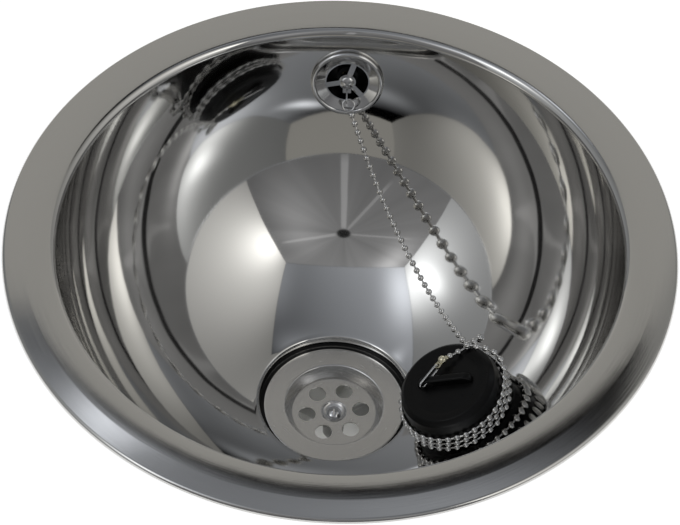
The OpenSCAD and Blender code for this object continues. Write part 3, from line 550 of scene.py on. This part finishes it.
# Heights, radii and angles at which the roundings of the lip and of the recess's brow meet the sphere.
def basinLevels():
    r, rise = bowl["radius"], bowl["rise"]
    lean = rim["crown"][0]
    lipZ = rim["height"] - rim["lipR"] * dcos(lean) - rim["crownIn"] * math.tan(math.radians(lean / 2))
    browX = recess["diameter"] / 2 + recess["round"]
    browZ = rise - math.sqrt((r + recess["round"]) ** 2 - browX ** 2)
    inX = math.sqrt((r + rim["lipR"]) ** 2 - (rise - lipZ) ** 2)
    return {"lipZ": lipZ, "lipX": inX, "lipA": math.degrees(math.atan2(lipZ - rise, inX)),
            "browX": browX, "browZ": browZ, "browA": math.degrees(math.atan2(browZ - rise, browX)),
            "floorZ": browZ - recess["depth"]}


levels = basinLevels()


# Radius and height along the rim, from the lip to the worktop.
def rimProfile():
    slope, margin = rim["slope"], rim["diameter"] / 2 - rim["slopeWidth"]
    lean, fall = rim["crown"]
    edgeX = rim["diameter"] / 2 - rim["edgeR"]
    # the flat is a very slight dome between the lip and the sloping margin
    topX = levels["lipX"] - rim["lipR"] * dsin(lean) + rim["crownIn"]
    innerR, outerR = rim["crownIn"] / dsin(lean), (margin - topX) / dsin(fall)
    lip = arc(levels["lipX"], levels["lipZ"], rim["lipR"], 180 + levels["lipA"], 90 + lean,
              sheetMesh["lip"])[1:]
    crown = arc(topX, rim["height"] - innerR, innerR, 90 + lean, 90, sheetMesh["crown"])[1:]
    crown += arc(topX, rim["height"] - outerR, outerR, 90, 90 - fall, sheetMesh["crown"])[1:]
    bendAt = (margin - rim["bendR"] * dsin(fall), crown[-1][1] - rim["bendR"] * dcos(fall))
    bend = arc(*bendAt, rim["bendR"], 90 - fall, 90 - slope, sheetMesh["bend"])[1:]
    bendX, bendZ = bend[-1]
    edgeZ = (bendZ - (edgeX + rim["edgeR"] * dsin(slope) - bendX) * math.tan(math.radians(slope))
             - rim["edgeR"] * dcos(slope))
    edge = arc(edgeX, edgeZ, rim["edgeR"], 90 - slope, 0, sheetMesh["edge"])
    return lip + crown + bend + edge + [(rim["diameter"] / 2, 0.0)]


# Radius and height from the sphere over the brow into the recess and to its hole.
def recessProfile():
    half, low, roundR = recess["diameter"] / 2, levels["floorZ"], recess["round"]
    brow = arc(levels["browX"], levels["browZ"], roundR, 180 + levels["browA"], 180, sheetMesh["brow"])[1:]
    corner = arc(half - roundR, low + roundR, roundR, 0, -90, sheetMesh["corner"])
    return brow + corner + [(recess["holeD"] / 2, low)]


# Grows rings from the sphere's open edge at height z.
def growFrom(sheet, z, profile):
    verts = sheet.data.vertices
    pick(sheet, lambda e: all(abs(verts[i].co.z - z * mm) < 2e-7 for i in e.vertices), "edges")
    bpy.ops.mesh.select_mode(type="EDGE")
    r0, z0 = math.sqrt(bowl["radius"] ** 2 - (z - bowl["rise"]) ** 2), z
    for r, height in profile:
        growRing(r0 * mm, z0 * mm, r * mm, height * mm)
        r0, z0 = r, height


def makeBasin():
    r, rise = bowl["radius"], bowl["rise"]
    topZ = rise + r * dsin(levels["lipA"])
    lowZ = rise + r * dsin(levels["browA"])
    deselectAll()
    bpy.ops.mesh.primitive_uv_sphere_add(segments=sheetMesh["segments"], ring_count=sheetMesh["rings"],
                                         radius=r * mm, location=(0, 0, rise * mm))
    sheet = named("basinSheet")
    bpy.ops.object.transform_apply(location=True, rotation=True, scale=True)
    bpy.ops.object.mode_set(mode="EDIT")
    bpy.ops.mesh.select_all(action="SELECT")
    bpy.ops.mesh.bisect(plane_co=(0, 0, topZ * mm), plane_no=(0, 0, 1), clear_outer=True)
    bpy.ops.mesh.select_all(action="SELECT")
    bpy.ops.mesh.bisect(plane_co=(0, 0, lowZ * mm), plane_no=(0, 0, 1), clear_inner=True)
    bpy.ops.mesh.select_mode(type="EDGE")
    growFrom(sheet, topZ, rimProfile())
    growFrom(sheet, lowZ, recessProfile())
    # judged by a face half way down the bowl
    faceUp(sheet, lambda f: abs(f.center.z + 0.1))
    modify(sheet, "SOLIDIFY", thickness=bowl["sheet"] * mm, offset=-1.0)
    deselectAll()
    bpy.ops.mesh.primitive_cylinder_add(vertices=sheetMesh["holeSides"], radius=overflow["holeR"] * mm,
                                        depth=overflow["holeDepth"] * mm)
    hole = named("overflowHole")
    hole.matrix_world = overflowFrame
    cut(sheet, hole)
    smooth(sheet, sheetMesh["smooth"])
    dress(sheet, "basinSteel")
    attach(sheet, "washbasin")
    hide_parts("basin")
    return sheet


basinSheet = makeBasin()
print("basin made:", len(basinSheet.data.polygons), "faces")

# strainer
strainer = {"flangeD": 85.0, "cupD": 58.4, "discD": 50.0, "depth": 7.2, "sheet": 0.9, "holes": 6,
            "holeD": 10.4, "ringD": 33.0, "firstHole": 9.5, "round": 1.2, "burr": 0.28,
            "seatR": 8.0, "seatRound": 0.7, "seatDepth": 1.4, "coneR": 5.8, "screwR": 3.3,
            "mouth": 1.4, "foot": 1.6, "mouthTurn": 155, "footTurn": 205, "drill": 8.0,
            "seal": 1.2, "sealHole": 63.0, "segments": 192, "holeSides": 48, "smooth": 40}
flangeZ = levels["floorZ"] + strainer["seal"] + strainer["sheet"]
discZ = flangeZ - strainer["depth"]


def makeStrainer():
    s, bendR, seatRound = strainer, strainer["round"], strainer["seatRound"]
    flangeR, cupR, discR = s["flangeD"] / 2, s["cupD"] / 2, s["discD"] / 2
    seatZ = discZ - s["seatDepth"]
    # a ring close to each bend keeps the bend's shading off the flats
    top = ([(flangeR, flangeZ), (flangeR - 1.0, flangeZ), (cupR + 1.7, flangeZ)]
           + arc(cupR + s["mouth"], flangeZ - bendR, bendR, 90, s["mouthTurn"], 7)
           + arc(discR + s["foot"], discZ + bendR, bendR, s["footTurn"], 270, 7)
           + [(discR + 1.2, discZ), (s["seatR"] + 0.5, discZ)]
           + arc(s["seatR"], discZ - seatRound, seatRound, 90, 150, 3)
           + [(s["coneR"], seatZ), (s["screwR"], seatZ)])
    body = turned("strainerPressing", top, s["segments"])
    # judged by a face of the disc
    faceUp(body, lambda f: abs(math.hypot(f.center.x, f.center.y) - 0.015))
    modify(body, "SOLIDIFY", thickness=s["sheet"] * mm, offset=-1.0)
    modify(body, "BEVEL", width=s["burr"] * mm, segments=3, limit_method="ANGLE",
           angle_limit=math.radians(60))
    for i in range(s["holes"]):
        a, away = s["firstHole"] + 360 / s["holes"] * i, s["ringD"] / 2 * mm
        deselectAll()
        bpy.ops.mesh.primitive_cylinder_add(vertices=s["holeSides"], radius=s["holeD"] / 2 * mm,
                                            depth=s["drill"] * mm,
                                            location=(away * dcos(a), away * dsin(a), discZ * mm))
        cut(body, named("strainerHole"))
    smooth(body, s["smooth"])
    dress(body, "strainerSteel")
    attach(body, "washbasin")
    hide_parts("strainer")


# The rubber ring under the flange is squeezed out into the recess's corner.
def makeFlangeSeal():
    low, top = levels["floorZ"], levels["floorZ"] + strainer["seal"]
    inR, flangeR, outR = strainer["sealHole"] / 2, strainer["flangeD"] / 2, recess["diameter"] / 2 - 0.5
    gap = 0.06
    section = [(inR, low + gap), (inR, top - gap), (flangeR - 0.4, top - gap), (outR - 0.4, top + 0.1),
               (outR, top - 0.1), (outR - 0.5, low + 0.75), (outR - 1.5, low + 0.12),
               (outR - 2.4, low + gap), (inR, low + gap)]
    ring = turned("flangeSeal", section, 160, closed=True)
    smooth(ring, strainer["smooth"])
    dress(ring, "blackRubber")
    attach(ring, "washbasin")
    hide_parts("flange_seal")


makeStrainer()
makeFlangeSeal()
print("strainer made")

# plug: a face with a moulded ring, an edge that stands out a little, and a hollow foot
# a ring can't grow from nothing, so both ends start a hair's breadth off the axis and are then merged
plugShape = {"faceR": 27.2, "edgeR": 29.3, "edgeZ": -3.0, "round": 1.3, "shoulderZ": -7.0, "footZ": -23.0,
             "cavity": [(18.4, -26.0), (17.9, -25.4), (17.0, -15.0), (15.0, -13.0), (0.0005, -13.0)],
             "markR": 21.0, "markHalf": 0.7, "markDepth": 0.12, "segments": 160, "smooth": 38}
ridge = {"angle": -11.0, "length": 34.0, "width": 4.4, "height": 5.8, "round": 1.2,
         "eyeX": -10.5, "eyeR": 1.9, "eyeZ": 2.7, "eyeL": 3.0}


# The bar across the face, cut through by the eye that the wire link goes through.
def makeRidge():
    r = ridge
    deselectAll()
    bpy.ops.mesh.primitive_cube_add(size=1, location=(0, 0, (r["height"] - 1) / 2 * mm),
                                    scale=(r["length"] * mm, r["width"] * mm, (r["height"] + 1) * mm))
    bar = named("plugRidge")
    bpy.ops.object.transform_apply(location=True, rotation=True, scale=True)
    verts = bar.data.vertices
    pick(bar, lambda e: all(verts[i].co.z > 0 for i in e.vertices)
         and abs(verts[e.vertices[0]].co.x - verts[e.vertices[1]].co.x) < 1e-6, "edges")
    bpy.ops.mesh.select_mode(type="EDGE")
    bpy.ops.mesh.bevel(offset=(r["height"] - 0.1) * mm, segments=10, affect="EDGES", clamp_overlap=False)
    bpy.ops.object.mode_set(mode="OBJECT")
    modify(bar, "BEVEL", width=r["round"] * mm, segments=4, limit_method="ANGLE",
           angle_limit=math.radians(50))
    deselectAll()
    bpy.ops.mesh.primitive_cylinder_add(vertices=40, radius=r["eyeR"] * mm, depth=3 * r["width"] * mm,
                                        location=(r["eyeX"] * mm, 0, r["eyeZ"] * mm),
                                        rotation=(math.pi / 2, 0, 0))
    eye = named("ridgeEye")
    bpy.ops.object.transform_apply(location=True, rotation=True, scale=True)
    for side in (-1, 1):
        pick(eye, lambda v: (v.co.x - r["eyeX"] * mm) * side > 1e-6)
        bpy.ops.mesh.select_mode(type="VERT")
        bpy.ops.transform.translate(value=(side * r["eyeL"] / 2 * mm, 0, 0))
    bpy.ops.object.mode_set(mode="OBJECT")
    cut(bar, eye)
    return bake(bar, Matrix.Rotation(math.radians(r["angle"]), 4, "Z"))


def makePlug():
    s = plugShape
    bodyR, footR, low = rubberPlug["bodyD"] / 2, rubberPlug["footD"] / 2, -rubberPlug["height"]
    markR, half = s["markR"], s["markHalf"]
    profile = ([(0.0005, 0.0), (markR - half, 0.0), (markR, -s["markDepth"]), (markR + half, 0.0)]
               + arc(s["faceR"] - s["round"], -s["round"], s["round"], 90, 35, 6)
               + [(s["edgeR"] - 0.35, s["edgeZ"] + 0.5), (s["edgeR"], s["edgeZ"]),
                  (s["edgeR"] + 0.1, s["edgeZ"] - 1.0), (bodyR - 0.3, s["shoulderZ"]),
                  (bodyR, s["shoulderZ"] - 1.0), (bodyR, s["footZ"]), (bodyR - 0.4, s["footZ"] - 0.8),
                  (footR + 0.5, low + 0.15), (footR, low)]
               + s["cavity"])
    body = turned("rubberPlug", profile, s["segments"], closed=True)
    fuse(body, makeRidge())
    smooth(body, s["smooth"])
    bake(body, plugFrame)
    dress(body, "blackRubber")
    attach(body, "plug_and_chain")
    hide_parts("plug")


makePlug()
print("plug made")


# chain
def copyAt(obj, matrix):
    o = bpy.data.objects.new(obj.name, obj.data.copy())
    bpy.context.scene.collection.objects.link(o)
    o.matrix_world = matrix
    return o


def turnTo(way):
    return way.to_track_quat("Z", "X").to_matrix().to_4x4()


# Every bead is a copy of one bead, and every rod of one rod.
def beadString(name, beads, tail=None):
    c = ballChain
    deselectAll()
    bpy.ops.mesh.primitive_uv_sphere_add(segments=c["beadSides"], ring_count=c["beadRings"],
                                         radius=c["bead"] / 2 * mm)
    bead = named("bead")
    bpy.ops.mesh.primitive_cylinder_add(vertices=c["rodSides"], radius=c["rod"] / 2 * mm, depth=1.0,
                                        end_fill_type="NOTHING")
    rod = named("rod")
    parts = []
    for i, p in enumerate(beads):
        way = (beads[min(i + 1, len(beads) - 1)] - beads[max(i - 1, 0)]).normalized()
        parts.append(copyAt(bead, Matrix.Translation(p * mm) @ turnTo(way)))
    ends = list(zip(beads, beads[1:])) + ([(beads[-1], tail)] if tail else [])
    for a, b in ends:
        stretch = Matrix.Diagonal((1, 1, (b - a).length * mm, 1))
        parts.append(copyAt(rod, Matrix.Translation((a + b) / 2 * mm) @ turnTo(b - a) @ stretch))
    bpy.data.objects.remove(bead)
    bpy.data.objects.remove(rod)
    bpy.context.view_layer.update()
    string = joined(parts, name)
    bake(string, Matrix.Identity(4))
    smooth(string, c["smooth"])
    return dress(string, "chainSteel")


# The free stretch ends with a rod that stops just short of the first wound bead.
def makeChain():
    toFirst = woundBeads[0] - freeBeads[-1]
    tail = woundBeads[0] - toFirst.normalized() * (ballChain["bead"] / 2 + ballChain["endGap"])
    free = beadString("ballChainFree", freeBeads, tail)
    wound = beadString("ballChainWound", woundBeads)
    for piece, node in ((free, "chain_free"), (wound, "chain_wound")):
        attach(piece, "plug_and_chain")
        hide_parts(node)


makeChain()
print("chain made")

# surfaces of the nodes that are shown as they come
finishes = {
    "greyFoam": ["rim_seal"],
    "chromePlate": ["overflow_rosette", "overflow_screw", "chain_eye", "strainer_screw", "plug_link",
                    "eye_ring"],
    "blackRubber": ["overflow_washer", "body_seal"],
    "blackPlastic": ["overflow_elbow"],
    "turnedBrass": ["overflow_insert", "waste_insert"],
    "paleBrass": ["end_coupling"],
    "greyHose": ["overflow_hose"],
    "whitePlastic": ["waste_body"]}
surfaceOf = {node: surface for surface, owners in finishes.items() for node in owners}
for name, obj in nodes.items():
    if not obj.hide_render:
        # lugs, bolts, claws and wing nuts are all of zinc-plated steel
        dress(obj, surfaceOf.get(name, "zincSteel"))
print("nodes dressed")

# studio: a tent of four walls and a ceiling, lit by direction, which the bowl mirrors
# Across and Up are places on a wall, over the distance to it: y and z over x at the sides,
# x and z over y at the front and back, x and y over z on the ceiling.
studio = {
    # how far off each wall stands, against the ceiling's height
    "reach": {"right": 0.47, "left": 0.58, "front": 0.50, "ceiling": 1.0, "back": 0.68},
    # light at the middle, its change across and its change upwards
    "base": {"right": (0.12, 0.14, 0.0), "left": (0.31, -0.06, -0.02), "front": (0.13, -0.03, 0.08),
             "ceiling": (0.235, -0.33, -0.20), "back": (0.42, 0.0, -0.01)},
    "tint": {"right": (1.0, 0.99, 0.96), "left": (0.98, 1.0, 1.02), "front": (0.99, 0.99, 1.01),
             "ceiling": (0.94, 0.98, 1.06), "back": (1.02, 1.0, 0.95)},
    # the changes stop this far across and this far up
    "far": (2.0, 2.5),
    # across, up, half width, half height, turn in degrees, strength
    "spots": {"right": [(-0.98, 1.42, 0.28, 0.60, 38, 1.15), (-0.75, 1.35, 0.90, 1.45, 23, 0.84)],
              "left": [(-0.41, 1.20, 0.13, 0.25, 48, 1.2), (-0.52, 1.50, 0.69, 0.43, 88, 1.35)],
              "front": [(0.5, 1.03, 0.31, 0.53, 0, 0.18), (-0.85, 1.90, 0.26, 0.50, 0, 0.5)],
              "ceiling": [(0.20, 0.23, 0.23, 0.13, 0, 0.28), (-0.31, 0.42, 0.16, 0.06, 46, 1.4),
                          (-0.52, -0.28, 0.15, 0.28, 0, 0.7), (0.52, -0.30, 0.15, 0.35, 0, 0.18),
                          (0.0, 0.61, 1.3, 0.11, 0, -0.15)],
              "back": []},
    # the lens that looks in through the front curtain, and the dark line where two walls meet
    "lens": (-0.03, 1.17), "lensR": 0.082, "lensEdge": (0.75, 1.15), "lensLight": 0.08,
    "blend": 0.004, "seam": 0.012, "seamLight": 0.72,
    # rays of the gathered curtain: how many, least and most light
    "rays": (2.2, 0.88, 1.14),
    # folds of the curtain that catch the light: far end, half width, strength
    "folds": [((0.0, 0.2), 0.035, 0.16), ((0.85, 1.42), 0.03, 0.16), ((-0.42, 0.45), 0.02, 0.12),
              ((-0.95, 1.22), 0.016, 0.14)],
    # where a fold begins, how long its end takes to fade, and how much of its half width is full light
    "foldStart": (0.03, 0.12), "foldEnd": 0.15, "foldCore": 0.6,
    # light from straight below and from just under the horizon, and the heights of a ray for each
    "under": (0.85, 0.30), "underSpan": (-1.0, -0.05), "horizon": (-0.10, -0.02)}


# Places a node group, with linked sockets and plain values by name.
def placeGroup(tree, group, linked, values):
    n = put(tree, "ShaderNodeGroup", node_tree=group, inputs=values)
    for label, socket in linked.items():
        tree.links.new(socket, n.inputs[label])
    return n.outputs["Light"]


# A soft oval of light on a wall.
def spotGroup():
    labels = ("Across", "Up", "At across", "At up", "Half width", "Half height", "Turn", "Strength")
    g, gin, gout = newGroup("lightSpot", dict.fromkeys(labels, 0.0), ("Light",))
    joinXyz = put(g, "ShaderNodeCombineXYZ")
    g.links.new(mathNode(g, "SUBTRACT", gin.outputs["Across"], gin.outputs["At across"]), joinXyz.inputs[0])
    g.links.new(mathNode(g, "SUBTRACT", gin.outputs["Up"], gin.outputs["At up"]), joinXyz.inputs[1])
    turn = put(g, "ShaderNodeVectorRotate", rotation_type="Z_AXIS")
    g.links.new(joinXyz.outputs[0], turn.inputs["Vector"])
    g.links.new(mathNode(g, "MULTIPLY", gin.outputs["Turn"], -1.0), turn.inputs["Angle"])
    split = put(g, "ShaderNodeSeparateXYZ")
    g.links.new(turn.outputs[0], split.inputs[0])
    w = mathNode(g, "DIVIDE", split.outputs[0], gin.outputs["Half width"])
    h = mathNode(g, "DIVIDE", split.outputs[1], gin.outputs["Half height"])
    far = mathNode(g, "ADD", mathNode(g, "MULTIPLY", w, w), mathNode(g, "MULTIPLY", h, h))
    fall = mathNode(g, "EXPONENT", mathNode(g, "MULTIPLY", far, -1.0))
    g.links.new(mathNode(g, "MULTIPLY", fall, gin.outputs["Strength"]), gout.inputs["Light"])
    return g


# A straight light fold that runs from the lens to a far point of the curtain.
def foldGroup():
    labels = ("Across", "Up", "Run across", "Run up", "Length", "Half width", "Strength")
    g, gin, gout = newGroup("curtainFold", dict.fromkeys(labels, 0.0), ("Light",))
    along = mathNode(g, "ADD", mathNode(g, "MULTIPLY", gin.outputs["Across"], gin.outputs["Run across"]),
                     mathNode(g, "MULTIPLY", gin.outputs["Up"], gin.outputs["Run up"]))
    side = mathNode(g, "ABSOLUTE", mathNode(g, "SUBTRACT",
                    mathNode(g, "MULTIPLY", gin.outputs["Across"], gin.outputs["Run up"]),
                    mathNode(g, "MULTIPLY", gin.outputs["Up"], gin.outputs["Run across"])))
    inner = mathNode(g, "MULTIPLY", gin.outputs["Half width"], studio["foldCore"])
    near = mapRange(g, side, gin.outputs["Half width"], inner, 0.0, 1.0, True)
    started = mapRange(g, along, *studio["foldStart"], 0.0, 1.0)
    toEnd = mathNode(g, "SUBTRACT", gin.outputs["Length"], along)
    ended = mapRange(g, toEnd, 0.0, studio["foldEnd"], 0.0, 1.0)
    g.links.new(mathNode(g, "MULTIPLY", mathNode(g, "MULTIPLY", near, gin.outputs["Strength"]),
                         mathNode(g, "MULTIPLY", started, ended)), gout.inputs["Light"])
    return g


def wallLight(tree, wall, across, up, spot):
    base, lean, rise = studio["base"][wall]
    farAcross, farUp = studio["far"]
    leaning = mathNode(tree, "MULTIPLY", mathNode(tree, "MINIMUM", across, farAcross), lean)
    rising = mathNode(tree, "MULTIPLY", mathNode(tree, "MINIMUM", up, farUp), rise)
    light = mathNode(tree, "ADD", mathNode(tree, "ADD", leaning, base), rising)
    for atAcross, atUp, w, h, turn, strength in studio["spots"][wall]:
        values = {"At across": atAcross, "At up": atUp, "Half width": w, "Half height": h,
                  "Turn": math.radians(turn), "Strength": strength}
        light = mathNode(tree, "ADD", light, placeGroup(tree, spot, {"Across": across, "Up": up}, values))
    return light


# The front wall is a curtain gathered round the lens: rays, light folds and the dark lens itself.
def curtainLight(tree, light, across, up, fold):
    lens, lensR = studio["lens"], studio["lensR"]
    u = mathNode(tree, "SUBTRACT", across, lens[0])
    v = mathNode(tree, "SUBTRACT", up, lens[1])
    scale, least, most = studio["rays"]
    rays = put(tree, "ShaderNodeTexNoise", noise_dimensions="1D",
               inputs={"Scale": scale, "Detail": 2.0, "Roughness": 0.5})
    tree.links.new(mathNode(tree, "ARCTAN2", v, u), rays.inputs["W"])
    light = mathNode(tree, "MULTIPLY", light, mapRange(tree, rays.outputs["Fac"], *noiseSpan, least, most))
    for far, half, strength in studio["folds"]:
        run = Vector((far[0] - lens[0], far[1] - lens[1]))
        values = {"Run across": run.normalized().x, "Run up": run.normalized().y, "Length": run.length,
                  "Half width": half, "Strength": strength}
        light = mathNode(tree, "ADD", light, placeGroup(tree, fold, {"Across": u, "Up": v}, values))
    inside, outside = (lensR * k for k in studio["lensEdge"])
    shade = mapRange(tree, lengthOf(tree, u, v), inside, outside, studio["lensLight"], 1.0, True)
    return mathNode(tree, "MULTIPLY", light, shade)


# A wall is seen where a ray meets it before the others, with a dark line along its edges.
def seenPart(tree, light, wall, reach):
    others = None
    for w in reach:
        if w != wall:
            others = reach[w] if others is None else mathNode(tree, "MAXIMUM", others, reach[w])
    lead = mathNode(tree, "SUBTRACT", reach[wall], others)
    seen = mapRange(tree, lead, -studio["blend"], studio["blend"], 0.0, 1.0)
    seam = mapRange(tree, lead, 0.0, studio["seam"], studio["seamLight"], 1.0, True)
    return mathNode(tree, "MULTIPLY", mathNode(tree, "MULTIPLY", light, seen), seam)


def makeWorld():
    world = bpy.data.worlds.new("studioTent")
    bpy.context.scene.world = world
    world.use_nodes = True
    tree = world.node_tree
    tree.nodes.clear()
    out = put(tree, "ShaderNodeOutputWorld")
    spot, fold = spotGroup(), foldGroup()
    coord = put(tree, "ShaderNodeTexCoord")
    split = put(tree, "ShaderNodeSeparateXYZ")
    tree.links.new(coord.outputs["Generated"], split.inputs[0])
    x, y, z = split.outputs
    least = 0.02
    size = {"x": mathNode(tree, "MAXIMUM", mathNode(tree, "ABSOLUTE", x), least),
            "y": mathNode(tree, "MAXIMUM", mathNode(tree, "ABSOLUTE", y), least),
            "z": mathNode(tree, "MAXIMUM", z, least)}
    # the axis towards each wall and its sign, the axes across and up it, and which size it is seen by
    ways = {"right": (x, 1.0, y, z, "x"), "left": (x, -1.0, y, z, "x"), "front": (y, -1.0, x, z, "y"),
            "ceiling": (z, 1.0, x, y, "z"), "back": (y, 1.0, x, z, "y")}
    reach = {w: mathNode(tree, "MULTIPLY", v[0], v[1] / studio["reach"][w]) for w, v in ways.items()}
    total = None
    for wall, (_, _, acrossAxis, upAxis, depth) in ways.items():
        across = mathNode(tree, "DIVIDE", acrossAxis, size[depth])
        up = mathNode(tree, "DIVIDE", upAxis, size[depth])
        light = wallLight(tree, wall, across, up, spot)
        if wall == "front":
            light = curtainLight(tree, light, across, up, fold)
        light = seenPart(tree, light, wall, reach)
        tinted = put(tree, "ShaderNodeVectorMath", operation="SCALE")
        tinted.inputs[0].default_value = studio["tint"][wall]
        tree.links.new(mathNode(tree, "MAXIMUM", light, 0.0), tinted.inputs["Scale"])
        if total is None:
            total = tinted.outputs[0]
        else:
            both = put(tree, "ShaderNodeVectorMath", operation="ADD")
            tree.links.new(total, both.inputs[0])
            tree.links.new(tinted.outputs[0], both.inputs[1])
            total = both.outputs[0]
    # pale light from below, which only the underside sees
    under = put(tree, "ShaderNodeVectorMath", operation="SCALE")
    under.inputs[0].default_value = (1.0, 1.0, 1.0)
    tree.links.new(mapRange(tree, z, *studio["underSpan"], *studio["under"]), under.inputs["Scale"])
    below = mapRange(tree, z, *studio["horizon"], 1.0, 0.0)
    total = colorBlend(tree, below, total, under.outputs[0])
    # the picture's background is plain white
    path = put(tree, "ShaderNodeLightPath")
    shown = colorBlend(tree, path.outputs["Is Camera Ray"], total, (1.0, 1.0, 1.0))
    sky = put(tree, "ShaderNodeBackground")
    tree.links.new(shown, sky.inputs["Color"])
    tree.links.new(sky.outputs[0], out.inputs["Surface"])


# pale worktop round the cut-out, in metres; each ring is so many times wider than the last
worktop = {"cutout": 0.177, "under": 0.00005, "growth": (1.3, 3.0, 18.0), "sides": 192,
           "color": (0.86, 0.86, 0.86), "roughness": 0.6, "glow": 0.75}


def makeFloor():
    deselectAll()
    bpy.ops.mesh.primitive_circle_add(vertices=worktop["sides"], radius=worktop["cutout"],
                                      fill_type="NOTHING", location=(0, 0, -worktop["under"]))
    floor = named("worktop")
    bpy.ops.object.transform_apply(location=True, rotation=True, scale=True)
    bpy.ops.object.mode_set(mode="EDIT")
    bpy.ops.mesh.select_mode(type="EDGE")
    bpy.ops.mesh.select_all(action="SELECT")
    for k in worktop["growth"]:
        bpy.ops.mesh.extrude_region_move()
        bpy.ops.transform.resize(value=(k, k, 1), center_override=(0, 0, 0))
    bpy.ops.mesh.select_all(action="SELECT")
    bpy.ops.mesh.normals_make_consistent(inside=False)
    bpy.ops.object.mode_set(mode="OBJECT")
    m, tree, shader = material("paleWorktop", worktop["color"], worktop["roughness"])
    path = put(tree, "ShaderNodeLightPath")
    seen = mathNode(tree, "ADD", path.outputs["Is Camera Ray"], path.outputs["Is Glossy Ray"])
    seen = mathNode(tree, "ADD", seen, path.outputs["Is Transmission Ray"])
    shader.inputs["Emission Color"].default_value = (1, 1, 1, 1)
    tree.links.new(mathNode(tree, "MULTIPLY", seen, worktop["glow"]), shader.inputs["Emission Strength"])
    surfaces["paleWorktop"] = m
    dress(floor, "paleWorktop")


makeWorld()
makeFloor()
print("studio made")
